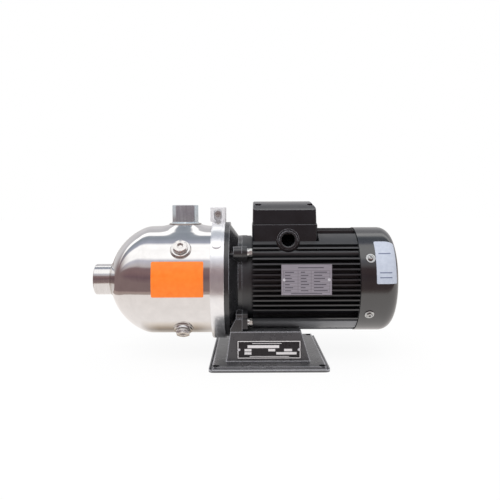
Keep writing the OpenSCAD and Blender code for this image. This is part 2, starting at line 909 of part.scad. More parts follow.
// Finned aluminium housing of the motor.
module motor_housing() {
    color("DimGray") on_axis() difference() {
        along_x(housing_x, housing_end)
            housing_outline();
        // seat for the terminal box
        difference() {
            translate([box_x - box_length / 2 - 2 - near_gap, -box_front - near_gap, box_base - 2])
                cube([box_length + 4 + 2 * near_gap, 2 * box_front + 2 * near_gap, 60]);
            rod(-90, 190, barrel_r);
        }
        // room for the cable gland among the fins
        translate([gland_x, -box_front, gland_z])
            rotate([90, 0, 0])
                cylinder(h = 60, r = 18);
        // wire hole into the terminal box
        translate([box_x, 0, 40])
            cylinder(h = 60, r = 12);
        // seat for the motor nameplate
        translate([55 - motor_plate_length / 2 - 1, -fin_r - 5, 8.2 - motor_plate_height / 2 - 1])
            cube([motor_plate_length + 2, 6.4, motor_plate_height + 2]);
    }
}

// Laminated stator core.
module stator_core() {
    color("SlateGray") on_axis() difference() {
        rod(core_x, core_end, bore_r - 0.02);
        rod(core_x - 1, core_end + 1, rotor_r + 0.35);
        for (k = [0 : 23])
            rotate([k * 15, 0, 0])
                translate([core_x - 1, -1, rotor_r - 1])
                    cube([stator_length + 2, 2, 3]);
    }
}

// End turns of the copper winding.
module stator_windings() {
    out_r = bore_r - 4;
    in_r = rotor_r + 3.5;
    color("Chocolate") on_axis() {
        turned([[core_x - 15, in_r + 1.5], [core_x - 15, out_r - 4], [core_x - 11, out_r],
            [core_x - 0.02, out_r], [core_x - 0.02, in_r], [core_x - 11, in_r]]);
        turned([[core_end + 0.02, in_r], [core_end + 0.02, out_r], [core_end + 9, out_r],
            [core_end + 13, out_r - 4], [core_end + 13, in_r + 1.5], [core_end + 9, in_r]]);
    }
}

// Cage rotor on the shaft.
module rotor_core() {
    color("LightSlateGray") on_axis() {
        ring(core_x, core_end, rotor_r, 13);
        ring(core_x - 8, core_x - 0.02, rotor_r - 1, rotor_r - 12);
        ring(core_end + 0.02, core_end + 8, rotor_r - 1, rotor_r - 12);
    }
}

// One shaft through the pump and the motor.
module shaft() {
    color("Silver") on_axis()
        turned([[stack_start - 9.6, 0], [stack_start - 9.6, 4.4], [stack_start - 9, 5],
            [stack_start - 0.2, 5], [stack_start - 0.2, shaft_r], [joint_x - 10, shaft_r], [joint_x - 2, 8.6],
            [drive_bearing_x, 8.6], [drive_bearing_x, drive_journal_r],
            [drive_bearing_x + drive_bearing_w, drive_journal_r], [drive_bearing_x + drive_bearing_w, 12.98],
            [core_end + 9, 12.98], [core_end + 9, 11], [fan_bearing_x, 11], [fan_bearing_x, fan_journal_r],
            [fan_bearing_x + fan_bearing_w + 4, fan_journal_r],
            [fan_bearing_x + fan_bearing_w + 4, fan_seat_r],
            [cover_x + 43, fan_seat_r], [cover_x + 44, fan_seat_r - 1], [cover_x + 44, 0]]);
}

// Drive end shield: the motor's flange, with the seat of the drive end bearing.
module drive_end_shield() {
    color("DimGray") on_axis() difference() {
        union() {
            rod(shield_x + 0.02, recess_x, neck_r);
            rod(recess_x - 1, housing_x - 1.2, neck_r - 0.6);
            rod(recess_x - 1, housing_x - 0.02, barrel_r);
            rod(housing_x - 1, housing_x + 8, bore_r - 0.05);
            intersection() {
                along_x(shield_x + 0.02, recess_x)
                    shoulder_outline(0.6 - shoulder_drop);
                rod(-90, 0, 96);
            }
            for (s = [-1, 1])
                upper_ear(shield_x + 0.02, recess_x, s);
            for (p = tie_points)
                translate([0, p[0], p[1]])
                    rod(recess_x - 1, housing_x - 0.02, 4.5);
        }
        rod(drive_bearing_x, housing_x + 9, drive_bearing_r + 0.01);
        ring(housing_x, housing_x + 9, bore_r - 4, drive_bearing_r + 5);
        rod(-60, 0, 9.4);
        ring(-60, shield_x + 4, 60, 26);
        for (p = bolt_places)
            translate([0, p[0], p[1]])
                rod(-60, 0, 3 + near_gap);
        for (p = tie_points)
            translate([0, p[0], p[1]])
                rod(recess_x + 1.6, 0, tie_r + run_gap);
    }
}

// Fan end shield with the bearing seat and the lugs that the fan cover is screwed to.
module fan_end_shield() {
    color("DimGray") on_axis() difference() {
        union() {
            rod(housing_end + 0.02, housing_end + 4, 77.6);
            rod(housing_end - 6, housing_end + 1, bore_r - 0.05);
            for (a = cover_screw_angles, s = [0, 180])
                out_front(0, s == 0 ? a : 180 - a)
                    translate([housing_end + 1, -6, 66])
                        cube([20, 12, 11.6]);
        }
        ring(housing_end - 10, housing_end, bore_r - 4, fan_bearing_r + 6);
        rod(fan_bearing_x - 20, fan_bearing_x + fan_bearing_w, fan_bearing_r + 0.01);
        rod(0, 200, 9.2);
        for (a = cover_screw_angles, s = [0, 180])
            out_front(cover_screw_x, s == 0 ? a : 180 - a)
                translate([0, 0, 64])
                    cylinder(h = 30, r = 2 + run_gap);
        for (p = tie_points)
            translate([0, p[0], p[1]])
                rod(0, 200, tie_r + near_gap);
    }
}

// Outer ring of a ball bearing, with its ball groove.
module bearing_outer(x, w, r_out, r_in) {
    pitch_r = (r_out + r_in) / 2;
    ball_r = (r_out - r_in) * 0.28;
    difference() {
        ring(x, x + w, r_out, pitch_r + ball_r * 0.55);
        translate([x + w / 2, 0, 0])
            rotate([0, 90, 0])
                rotate_extrude()
                    translate([pitch_r, 0])
                        circle(ball_r + run_gap);
    }
}

// Inner ring of a ball bearing, with its ball groove.
module bearing_inner(x, w, r_out, r_in) {
    pitch_r = (r_out + r_in) / 2;
    ball_r = (r_out - r_in) * 0.28;
    difference() {
        ring(x, x + w, pitch_r - ball_r * 0.55, r_in + 0.01);
        translate([x + w / 2, 0, 0])
            rotate([0, 90, 0])
                rotate_extrude()
                    translate([pitch_r, 0])
                        circle(ball_r + run_gap);
    }
}

// Balls of a bearing in their cage.
module bearing_balls(x, w, r_out, r_in, n) {
    pitch_r = (r_out + r_in) / 2;
    ball_r = (r_out - r_in) * 0.28;
    for (k = [0 : n - 1])
        rotate([k * 360 / n, 0, 0])
            translate([x + w / 2, 0, pitch_r])
                sphere(ball_r, $fn = 32);
    ring(x + w / 2 - ball_r * 0.35, x + w / 2 + ball_r * 0.35,
        pitch_r + ball_r * 0.3, pitch_r - ball_r * 0.3);
}

// Outer ring of the drive end bearing.
module drive_bearing_outer() {
    color("Silver") on_axis()
        bearing_outer(drive_bearing_x, drive_bearing_w, drive_bearing_r, drive_journal_r);
}

// Inner ring of the drive end bearing.
module drive_bearing_inner() {
    color("Silver") on_axis()
        bearing_inner(drive_bearing_x, drive_bearing_w, drive_bearing_r, drive_journal_r);
}

// Balls and cage of the drive end bearing.
module drive_bearing_balls() {
    color("Goldenrod") on_axis()
        bearing_balls(drive_bearing_x, drive_bearing_w, drive_bearing_r, drive_journal_r, 8);
}

// Outer ring of the fan end bearing.
module fan_bearing_outer() {
    color("Silver") on_axis() bearing_outer(fan_bearing_x, fan_bearing_w, fan_bearing_r, fan_journal_r);
}

// Inner ring of the fan end bearing.
module fan_bearing_inner() {
    color("Silver") on_axis() bearing_inner(fan_bearing_x, fan_bearing_w, fan_bearing_r, fan_journal_r);
}

// Balls and cage of the fan end bearing.
module fan_bearing_balls() {
    color("Goldenrod") on_axis()
        bearing_balls(fan_bearing_x, fan_bearing_w, fan_bearing_r, fan_journal_r, 8);
}

// Long bolts that hold both end shields to the housing.
module tie_bolts() {
    color("DarkGray") on_axis()
        for (p = tie_points)
            translate([0, p[0], p[1]]) {
                rod(recess_x + 2, housing_end + 5, tie_r);
                translate([housing_end + 4.02, 0, 0])
                    rotate([0, 90, 0])
                        hexagon(8, 3.5);
            }
}

// Moulded cooling fan on the shaft's rear end.
module cooling_fan() {
    fan_x = cover_x + 14;
    color("DarkGray") on_axis() difference() {
        union() {
            ring(fan_x, fan_x + 2.4, fan_r - 8, 8);
            rod(fan_x, fan_x + 24, 13);
            for (k = [0 : 7])
                rotate([k * 45, 0, 0])
                    translate([fan_x + 1, -1, 12])
                        cube([21, 2, fan_r - 12]);
        }
        rod(fan_x - 9, fan_x + 60, fan_seat_r + run_gap);
        turned([[fan_x - 2, fan_r + 9], [fan_x - 2, fan_r - 8], [fan_x, fan_r - 8], [fan_x + 8, fan_r + 0.1],
            [fan_x + 8, fan_r + 9]]);
    }
}

// Spring ring that keeps the fan on the shaft.
module fan_clip() {
    color("DarkGray") on_axis() difference() {
        ring(cover_x + 38.05, cover_x + 39.2, 10, fan_seat_r + run_gap);
        translate([cover_x + 30, -2, 0])
            cube([20, 4, 20]);
    }
}

// Deep-drawn fan cover with its intake grille.
module fan_cover() {
    e = fan_cover_edge;
    t = fan_cover_wall;
    arc = [for (i = [0 : 8]) [cover_end - e + e * sin(i * 90 / 8), cover_r - e + e * cos(i * 90 / 8)]];
    inner = [for (i = [8 : -1 : 0])
        [cover_end - e + (e - t) * sin(i * 90 / 8), cover_r - e + (e - t) * cos(i * 90 / 8)]];
    color("DimGray") on_axis() difference() {
        turned(concat([[cover_x + 0.6, cover_r - t], [cover_x + 0.6, cover_r]], arc,
            [[cover_end, 0], [cover_end - t, 0]], inner));
        // ring slots of the grille, left standing on six spokes
        along_x(cover_end - 4, cover_end + 4)
            difference() {
                for (r = [16 : 8 : cover_r - e - 4])
                    difference() {
                        circle(r + 5);
                        circle(r);
                    }
                for (k = [0 : 2])
                    rotate(30 + k * 60)
                        square([200, 5], center = true);
            }
        for (a = cover_screw_angles, s = [0, 180])
            out_front(cover_screw_x, s == 0 ? a : 180 - a)
                translate([0, 0, 60])
                    cylinder(h = 30, r = 2.3);
    }
}

// Screws with washers that hold the fan cover to the shield's lugs.
module fan_cover_screws() {
    color("Gainsboro") on_axis()
        for (a = cover_screw_angles, s = [0, 180])
            out_front(cover_screw_x, s == 0 ? a : 180 - a) {
                translate([0, 0, cover_r + 0.02])
                    cylinder(h = 1.2, r = 7);
                translate([0, 0, cover_r + 1])
                    hexagon(7, 2.8);
                translate([0, 0, cover_r - 10])
                    cylinder(h = 12, r = 2);
            }
}

// Rubber ring that throws leaked water off the shaft ahead of the bearing.
module slinger() {
    color("DimGray") on_axis()
        turned([[-52, 8.62], [-52, 14], [-50, 24], [-48.4, 24], [-49, 13], [-46, 12], [-46, 8.62]]);
}

// Cast terminal box on top of the housing, with posts for the lid's screws.
module terminal_box() {
    color("DimGray") on_axis() difference() {
        union() {
            difference() {
                translate([box_x, 0, box_base])
                    linear_extrude(box_joint_height - box_base)
                        round_rect(box_length + 1, box_width, 7);
                difference() {
                    translate([box_x, 0, box_base + 4])
                        linear_extrude(60)
                            round_rect(box_length - 2 * box_wall, box_width - 2 * box_wall, 5);
                    rod(-90, 190, barrel_r + box_floor);
                }
            }
            for (p = lid_screw_places)
                translate([p[0], p[1], box_base + 3])
                    cylinder(h = box_joint_height - box_base - 3, r = 6.5);
        }
        translate([box_x, 0, 0])
            cylinder(h = 90, r = 12);
        rod(-90, 190, barrel_r + 0.02);
        translate([gland_x, box_wall + 3 - box_front, gland_z])
            rotate([90, 0, 0])
                cylinder(h = 90, r = gland_hole_d / 2);
        for (p = lid_screw_places)
            translate([p[0], p[1], box_joint_height - 12])
                cylinder(h = 20, r = 2 + run_gap);
    }
}

// Flat rubber gasket under the lid.
module terminal_gasket() {
    color("Black") on_axis() translate([box_x, 0, box_joint_height + 0.02]) difference() {
        linear_extrude(1.5)
            round_rect(box_length - 0.6, box_width - 1, 7);
        translate([0, 0, -1])
            linear_extrude(9)
                round_rect(box_length - 10, box_width - 10, 5);
    }
}

// Crowned lid of the terminal box with sunk corner screws.
module terminal_lid() {
    lid_base = box_joint_height + 1.54;
    crown_top = box_joint_height + lid_height;
    drop = 13;
    crown_r = (pow(box_front, 2) + pow(drop, 2)) / (2 * drop);
    color("DimGray") on_axis() difference() {
        intersection() {
            translate([box_x, 0, lid_base])
                linear_extrude(60)
                    round_rect(box_length, box_width, 8);
            along_x(-90, 190)
                intersection() {
                    translate([0, crown_top - crown_r])
                        circle(crown_r);
                    square([200, 400], center = true);
                }
            translate([box_x, 100, 0])
                rotate([90, 0, 0])
                    linear_extrude(200)
                        polygon([[-box_length / 2, 60], [box_length / 2, 60],
                            [box_length / 2 - 2.4, crown_top - 10], [box_length / 2 - 8, crown_top],
                            [4 - box_length / 2, crown_top + 1], [1.2 - box_length / 2, crown_top - 1.5]]);
        }
        intersection() {
            translate([box_x, 0, lid_base - 1])
                linear_extrude(22)
                    round_rect(box_length - 2 * box_wall - 3, box_width - 2 * box_wall, 6);
            translate([box_x, 0, lid_base - 1])
                linear_extrude(40) {
                    square([200, box_width - 54], center = true);
                    square([box_length - 36, 200], center = true);
                }
        }
        for (p = lid_screw_places)
            translate([p[0], p[1], 0]) {
                cylinder(h = 200, r = 2.3);
                translate([0, 0, lid_base + 14])
                    cylinder(h = 60, r = 5.2);
            }
    }
}

// Four screws in the lid's sunk pockets.
module lid_screws() {
    lid_base = box_joint_height + 1.54;
    color("LightGray") on_axis()
        for (p = lid_screw_places)
            translate([p[0], p[1], lid_base]) {
                translate([0, 0, -10])
                    cylinder(h = 25, r = 2);
                difference() {
                    translate([0, 0, 14.02])
                        cylinder(h = 3, r = 4);
                    translate([-5, -0.5, 16])
                        cube([10, 1, 3]);
                }
            }
}

// Moulded terminal board with its six posts.
module terminal_board() {
    color("SaddleBrown") on_axis() translate([box_x, 0, barrel_r]) difference() {
        union() {
            translate([-26, -18, 4])
                cube([52, 36, 6]);
            for (x = [-21, 21], y = [-13, 13])
                translate([x, y, box_floor - 3])
                    cylinder(h = 6, r = 4);
        }
        for (x = [-14, 0, 14], y = [-8, 8])
            translate([x, y, 0])
                cylinder(h = 20, r = 2.55);
        on_axis_cut();
    }
}

// The box's floor over the barrel, taken off the posts that stand on it.
module on_axis_cut() {
    translate([-box_x, 0, -barrel_r])
        rod(-90, 190, barrel_r + box_floor + 0.04);
}

// Brass studs, nuts and links on the terminal board.
module terminal_studs() {
    color("Goldenrod") on_axis() translate([box_x, 0, barrel_r]) {
        for (x = [-14, 0, 14], y = [-8, 8])
            translate([x, y, 0]) {
                translate([0, 0, 5])
                    cylinder(h = 13, r = 2.5);
                translate([0, 0, 10.02])
                    hexagon(7, 3);
            }
        for (x = [-14, 0, 14])
            translate([x - 3, -8, 12.6])
                cube([6, 16, 1]);
    }
}

// Cable gland on the box's front: body, nut and an open hole for the cable.
module cable_gland() {
    color("DimGray") on_axis() translate([gland_x, 0, gland_z]) rotate([90, 0, 0]) difference() {
        union() {
            translate([0, 0, box_front + 0.02])
                cylinder(h = 3, r = 16.5);
            translate([0, 0, box_front + 2])
                cylinder(h = 5, r = 13.5);
        }
        cylinder(h = 90, r = gland_hole_d / 2);
    }
}

// Aluminium nameplate of the motor, left bare.
module motor_nameplate() {
    color("Silver") on_axis()
        translate([55 - motor_plate_length / 2, -fin_r + 0.2, 8.2 - motor_plate_height / 2])
            difference() {
                cube([motor_plate_length, 1.16, motor_plate_height]);
                for (x = [4, motor_plate_length - 4])
                    translate([x, 9, motor_plate_height / 2])
                        rotate([90, 0, 0])
                            cylinder(h = 20, r = 1.3);
            }
}

// Nameplate of the pump on the pedestal's front, left without its fields' text.
module pump_nameplate() {
    color("Black") pedestal_face()
        difference() {
            translate([-pump_plate_length / 2, -pump_plate_height / 2, 0.02])
                cube([pump_plate_length, pump_plate_height, 0.8]);
            for (x = [-1, 1])
                translate([x * (pump_plate_length / 2 - 3), 0, -1])
                    cylinder(h = 9, r = 1.1);
        }
}

// Places a plate on the middle of the pedestal's sloping front.
module pedestal_face() {
    rise = 24;
    translate([0.6, -pedestal_foot + (rise - base_thickness) * tan(plate_tilt), rise])
        rotate([90 - plate_tilt, 0, 0])
            children();
}

// Rivets of both nameplates.
module plate_rivets() {
    color("LightGray") {
        on_axis()
            for (x = [4, motor_plate_length - 4])
                translate([55 - motor_plate_length / 2 + x, -fin_r + 1.38, 8.2])
                    rotate([90, 0, 0]) {
                        cylinder(h = 1.6, r = 1.25);
                        translate([0, 0, 1.2])
                            cylinder(h = 0.8, r = 2.2);
                    }
        pedestal_face()
            for (x = [-1, 1])
                translate([x * (pump_plate_length / 2 - 3), 0, 0]) {
                    translate([0, 0, 0.03])
                        cylinder(h = 1, r = 1.05);
                    translate([0, 0, 0.84])
                        cylinder(h = 0.7, r = 1.9);
                }
    }
}

pump_casing();
inlet_socket();
outlet_socket();
plug_bosses();
priming_plug();
priming_washer();
drain_plug();
drain_washer();
inlet_cover();
stage_chamber_1();
stage_chamber_2();
stage_chamber_3();
discharge_chamber();
neck_rings();
casing_o_ring();
seal_cover();
seal_seat();
seal_head();
impeller_1();
impeller_2();
impeller_3();
impeller_4();
spacer_sleeves();
shaft_nut();
clamp_band();
clamp_bolt();
clamp_nut();
bracket();
foot();
flange_bolts();
foot_bolts();
motor_housing();
stator_core();
stator_windings();
rotor_core();
shaft();
drive_end_shield();
fan_end_shield();
drive_bearing_outer();
drive_bearing_inner();
drive_bearing_balls();
fan_bearing_outer();
fan_bearing_inner();
fan_bearing_balls();
tie_bolts();
cooling_fan();
fan_clip();
fan_cover();
fan_cover_screws();
slinger();
terminal_box();
terminal_gasket();
terminal_lid();
lid_screws();
terminal_board();
terminal_studs();
cable_gland();
motor_nameplate();
pump_nameplate();
plate_rivets();
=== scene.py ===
"""A horizontal multistage pump on its fan-cooled motor, dressed for its photograph.

Its parts come in the order in which it is put together. Lengths are in millimetres in the CAD's
own frame until a mesh is built, which puts them into metres.
"""
import math

import bmesh
import bpy
import numpy as np
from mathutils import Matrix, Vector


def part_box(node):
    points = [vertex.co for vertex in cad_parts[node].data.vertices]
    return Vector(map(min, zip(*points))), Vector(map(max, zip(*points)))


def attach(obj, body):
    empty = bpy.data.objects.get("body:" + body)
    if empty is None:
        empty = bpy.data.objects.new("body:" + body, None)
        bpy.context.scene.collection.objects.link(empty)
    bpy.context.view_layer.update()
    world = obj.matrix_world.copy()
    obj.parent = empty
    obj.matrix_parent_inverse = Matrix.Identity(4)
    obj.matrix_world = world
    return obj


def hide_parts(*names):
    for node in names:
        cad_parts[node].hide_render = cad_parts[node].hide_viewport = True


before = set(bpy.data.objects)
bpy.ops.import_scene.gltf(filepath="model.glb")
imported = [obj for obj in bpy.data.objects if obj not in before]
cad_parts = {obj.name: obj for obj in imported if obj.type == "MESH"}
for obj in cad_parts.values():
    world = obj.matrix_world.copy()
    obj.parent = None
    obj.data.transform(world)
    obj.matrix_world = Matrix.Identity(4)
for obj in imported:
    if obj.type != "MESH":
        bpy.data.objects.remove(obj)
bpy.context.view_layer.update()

# The photographer's table
# White paper runs under and behind the pump. Long soft boxes hang beside it, the room beyond
# the table is dark, and the polished sheet shows all of that as bands along the shaft.

METRE = 0.001  # one millimetre in the scene's metres
CAMERA_AT = (-26.5, -880.0, 234.3)
CAMERA_PITCH = 4.47  # degrees below the horizon
CAMERA_LENS = 40.15
CAMERA_ROLL = 0.25  # degrees that the frame is turned, its right side up
PAPER_EDGE = -300.0  # how far in front of the shaft the bright paper ends in the metal
PAPER_FADE = -395.0  # and how far in front the table ends
PAPER_END = -200.0  # where along the shaft the paper's edge starts to turn round the pump
SHADE_X = -145.0  # middle of the casing's shade on the paper
SHADE_HALF = (30.0, 85.0)  # half the length of its full part, and of the whole
ROOM = "#8a7675"  # the dark room as the metal shows it
BAND_FROM, BAND_TO = -30, 210  # degrees round the shaft's direction that the bands cover
END_SHARE = 0.4  # how far the bands ahead reach round to the shaft's ends


def linear(hex_colour):
    """An sRGB hex colour as a linear RGBA value: the sRGB curve undone for each channel."""
    parts = [int(hex_colour[i:i + 2], 16) / 255 for i in (1, 3, 5)]
    return [p / 12.92 if p <= 0.04045 else ((p + 0.055) / 1.055) ** 2.4 for p in parts] + [1.0]


def feed(node, **sockets):
    """Fills a node's sockets. Each is named by its label with underscores, or by in0, in1 for its
    place, and takes a value, another node's output, or a node for its first output."""
    for name, value in sockets.items():
        key = int(name[2:]) if name[:2] == "in" and name[2:].isdigit() else name.replace("_", " ")
        if isinstance(value, bpy.types.Node):
            value = value.outputs[0]
        if isinstance(value, bpy.types.NodeSocket):
            node.id_data.links.new(value, node.inputs[key])
        else:
            node.inputs[key].default_value = value
    return node


def add(tree, kind, settings=None, **sockets):
    """Adds one shader node with its own settings and feeds its sockets."""
    node = tree.nodes.new("ShaderNode" + kind)
    for name, value in (settings or {}).items():
        setattr(node, name, value)
    return feed(node, **sockets)


def calc(tree, operation, *values, kind="Math", **sockets):
    """One arithmetic node on the values, each a number, an output or a node."""
    places = {f"in{place}": value for place, value in enumerate(values)}
    return add(tree, kind, {"operation": operation}, **places, **sockets)


def vector(tree, operation, *vectors, **sockets):
    """One operation on vectors."""
    return calc(tree, operation, *vectors, kind="VectorMath", **sockets)


def measure(tree, operation, *vectors):
    """The number that an operation on vectors gives."""
    return vector(tree, operation, *vectors).outputs["Value"]


def mix(tree, share, first, second):
    """The first colour, with a share of the second one."""
    return add(tree, "MixRGB", Fac=share, Color1=first, Color2=second)


def fade(tree, value, start, end, low=0.0, high=1.0, shape="LINEAR"):
    """Low up to where the value is start, high from where it is end on."""
    return add(tree, "MapRange", {"interpolation_type": shape}, Value=value, From_Min=start,
               From_Max=end, To_Min=low, To_Max=high)


def ramp(tree, factor, stops):
    """A colour ramp through (place, colour) stops, read at factor; a colour is hex or a level."""
    node = add(tree, "ValToRGB", in0=factor)
    while len(node.color_ramp.elements) < len(stops):
        node.color_ramp.elements.new(0.5)
    for element, (place, colour) in zip(node.color_ramp.elements, stops):
        element.position = place
        element.color = linear(colour) if isinstance(colour, str) else (colour,) * 3 + (1.0,)
    return node.outputs[0]


def studio_world():
    """White to the camera, even light on everything. Gloss sees the soft boxes as long strips
    beside the pump: their brightness is a ramp over the angle round the shaft's direction, in
    degrees from straight ahead, over the top, to straight behind. Straight ahead reaches round
    to both ends of the shaft, by a share of the square of the direction's part along it. Where the
    strips would meet in a point they fade into one tone."""
    strips = [(-30, "#9c8a84"), (-3, ROOM), (9, "#786267"), (19, "#8a7172"), (28, "#8c7678"),
              (33, "#c9c2c3"), (45, "#cfcfdb"), (51, 1.3), (83, 1.35), (89, "#b4b8c8"),
              (104, "#9aa2ac"), (110, "#a6adb6"), (114, 1.5), (123, 1.5), (127, "#d0d0d4"),
              (150, "#dddcdf"), (186, "#d9d6d4")]
    world = bpy.data.worlds.new("studio")
    bpy.context.scene.world = world
    world.use_nodes = True
    tree = world.node_tree
    tree.nodes.clear()
    direction = add(tree, "TexCoord").outputs["Generated"]
    split = add(tree, "SeparateXYZ", in0=direction).outputs
    ends = calc(tree, "MULTIPLY", calc(tree, "MULTIPLY", split[0], split[0]), END_SHARE)
    ahead = calc(tree, "SUBTRACT", ends, split[1])
    angle = calc(tree, "ARCTAN2", split[2], ahead)
    place = fade(tree, angle, math.radians(BAND_FROM), math.radians(BAND_TO))
    gloss = ramp(tree, place, [((at - BAND_FROM) / (BAND_TO - BAND_FROM), level)
                               for at, level in strips])
    from_point = measure(tree, "LENGTH", add(tree, "CombineXYZ", X=ahead, Z=split[2]))
    apart = fade(tree, from_point, 0.1, 0.6, shape="SMOOTHSTEP")
    gloss = mix(tree, apart, linear(ROOM), gloss)
    cloudy = add(tree, "TexNoise", Vector=direction, Scale=5.0, Detail=2.0)
    level = fade(tree, cloudy, 0.3, 0.7, 0.96, 1.05)
    gloss = vector(tree, "SCALE", gloss, Scale=level)
    path = add(tree, "LightPath").outputs
    shine = calc(tree, "MAXIMUM", path["Is Glossy Ray"], path["Is Transmission Ray"])
    even = mix(tree, shine, (0.62, 0.62, 0.63, 1), gloss)
    seen = mix(tree, path["Is Camera Ray"], even, (1, 1, 1, 1))
    add(tree, "OutputWorld", Surface=add(tree, "Background", Color=seen, Strength=1.0))


def own_place(tree):
    """Where a point lies in its object's own space, as X, Y and Z."""
    return add(tree, "SeparateXYZ", in0=add(tree, "TexCoord").outputs["Object"]).outputs


def put(name, data):
    """Puts a new object into the scene."""
    made = bpy.data.objects.new(name, data)
    bpy.context.scene.collection.objects.link(made)
    return made


def lamp(name, strength, softness, aim):
    """A sun behind soft cloth, aimed by (turn from the front, height) in degrees. Its own
    reflection is off, because the world's bands are what the metal shows."""
    data = bpy.data.lights.new(name, "SUN")
    data.energy = strength
    data.angle = math.radians(softness)
    light = put(name, data)
    light.rotation_euler = (math.radians(90 - aim[1]), 0, math.radians(aim[0]))
    light.visible_glossy = False


def paper():
    """The white floor. To gloss it is a bright sheet under the pump that falls off to the dark
    room in steps, over the distance in front of the shaft and, past the paper's left end, over
    the distance from that end. It is in shade under the casing."""
    half = 9.0  # metres
    front, back = 0.8, -0.2  # metres in front of the shaft that the ramps cover
    mesh = bpy.data.meshes.new("paper")
    mesh.from_pydata([(-half, -half, 0), (half, -half, 0), (half, half, 0), (-half, half, 0)],
                     [], [(0, 1, 2, 3)])
    floor = put("paper", mesh)
    mat = bpy.data.materials.new("white_paper")
    mat.use_nodes = True
    tree = mat.node_tree
    tree.nodes.clear()
    lit = add(tree, "BsdfDiffuse", Color=linear("#f8f7f6"))
    bright = add(tree, "Emission", Color=(1, 1, 1, 1), Strength=1.0)
    plain = add(tree, "MixShader", Fac=0.9, in1=lit, in2=bright)
    place = own_place(tree)
    away = fade(tree, place[1], -front, -back)
    room = [(-800, ROOM), (PAPER_FADE - 20, ROOM), (PAPER_FADE, "#ab9690"),
            (PAPER_EDGE - 12, "#b5a6a0"), (PAPER_EDGE, "#fbf4f0"), (-60, "#fffaf7")]
    shade = [(-45, "#efe5da"), (-22, "#bcae9e"), (-5, "#a0958a"), (30, "#c6beb6")]
    past_end = calc(tree, "MINIMUM", calc(tree, "SUBTRACT", place[0], PAPER_END * METRE), 0.0)
    in_front = calc(tree, "MINIMUM", place[1], 0.0)
    distance = measure(tree, "LENGTH", add(tree, "CombineXYZ", X=past_end, Y=in_front))
    round_end = fade(tree, distance, front, back)
    clear, shaded = (ramp(tree, fall, [(y * METRE + front, colour) for y, colour in line])
                     for fall, line in ((round_end, room), (away, room + shade)))
    off = calc(tree, "ABSOLUTE", calc(tree, "SUBTRACT", place[0], SHADE_X * METRE))
    under = fade(tree, off, SHADE_HALF[1] * METRE, SHADE_HALF[0] * METRE)
    shown = add(tree, "Emission", Color=mix(tree, under, clear, shaded), Strength=1.0)
    glossy = add(tree, "LightPath").outputs["Is Glossy Ray"]
    add(tree, "OutputMaterial", Surface=add(tree, "MixShader", Fac=glossy, in1=plain, in2=shown))
    mesh.materials.append(mat)


camera = put("camera", bpy.data.cameras.new("camera"))
camera.data.sensor_width = 36.0
camera.data.lens = CAMERA_LENS
camera.location = [c * METRE for c in CAMERA_AT]
camera.rotation_euler = (math.radians(90 - CAMERA_PITCH), math.radians(CAMERA_ROLL), 0)
bpy.context.scene.camera = camera
bpy.context.scene.view_settings.view_transform = "Standard"
studio_world()
lamp("soft_box", 1.35, 50, (-18, 52))
lamp("ceiling", 0.8, 90, (150, 75))
paper()

# Drawn casing
# A deep-drawn cup of 1.5 mm stainless sheet, polished bright: shallow crown, tight knuckle,
# straight barrel, a collar pulled up out of the barrel for the outlet, and a turned-out rim
# that the clamp holds. Holes for the two plug bosses are cut in its front.

SHAFT_Z = (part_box("shaft")[0].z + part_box("shaft")[1].z) / 2 / METRE
RIM_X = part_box("pump_casing")[1].x / METRE
CASING_R = 84.0
CASING_WALL = 1.5
CROWN_R = 88.0
KNUCKLE_R = 40.0
CUP_LENGTH = 168.0  # from the crown's tip to the rim
CROWN_X = RIM_X - CUP_LENGTH + CROWN_R
RIM_R = 89.0
RIM_TURN = 2.0  # radius of the turn out to the rim
INLET_HOLE = 22.2
OUTLET_X = (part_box("outlet_socket")[0].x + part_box("outlet_socket")[1].x) / 2 / METRE
COLLAR_RISE = 3.0  # height of the collar's lip above the barrel
COLLAR_SLOPE = (0.3, 0.45)  # its fall along the barrel, and how much more across it
COLLAR_BLEND = 2.0  # square of the width over which it blends into the barrel
COLLAR_FOOT = (40.0, 52.0)  # from the outlet's axis: where its last blend starts and ends
OUTLET_HOLE = 23.7
PLUG_ANGLES = (38.0, -55.0)  # priming plug and drain plug, above and below the horizontal
PLUG_HOLE = 11.8
HOLE_MARGIN = 1.9  # a point farther inside a hole goes, a nearer one moves to its edge
DOUBLES = 2e-6  # metres between points that are one


def grain(tree, size_mm, detail=3.0, stretch=(1, 1, 1)):
    """Noise in the object's own space whose lumps are size_mm across; stretch squeezes it."""
    place = add(tree, "TexCoord").outputs["Object"]
    if stretch != (1, 1, 1):
        place = add(tree, "Mapping", Vector=place, Scale=stretch)
    return add(tree, "TexNoise", Vector=place, Scale=1 / (size_mm * METRE), Detail=detail,
               Roughness=0.55)


def finish(name, tints, roughness, grain_mm, metallic=0.0, bump_mm=0.0, stretch=(1, 1, 1),
           bump_grain=None, **sockets):
    """A finish whose colour runs between two tints and whose roughness runs between two values
    with a noise of grain_mm, and whose skin is raised by bump_mm over lumps of bump_grain."""
    mat = bpy.data.materials.new(name)
    mat.use_nodes = True
    tree = mat.node_tree
    shader = tree.nodes["Principled BSDF"]
    noise = grain(tree, grain_mm, stretch=stretch)
    feed(shader, Base_Color=ramp(tree, noise, [(0.3, tints[0]), (0.7, tints[1])]),
         Roughness=fade(tree, noise, 0.3, 0.7, *roughness), Metallic=metallic, **sockets)
    if bump_mm:
        height = grain(tree, bump_grain or grain_mm, stretch=stretch)
        feed(shader, Normal=add(tree, "Bump", Strength=1.0, Distance=bump_mm * METRE,
                                Height=height))
    return mat


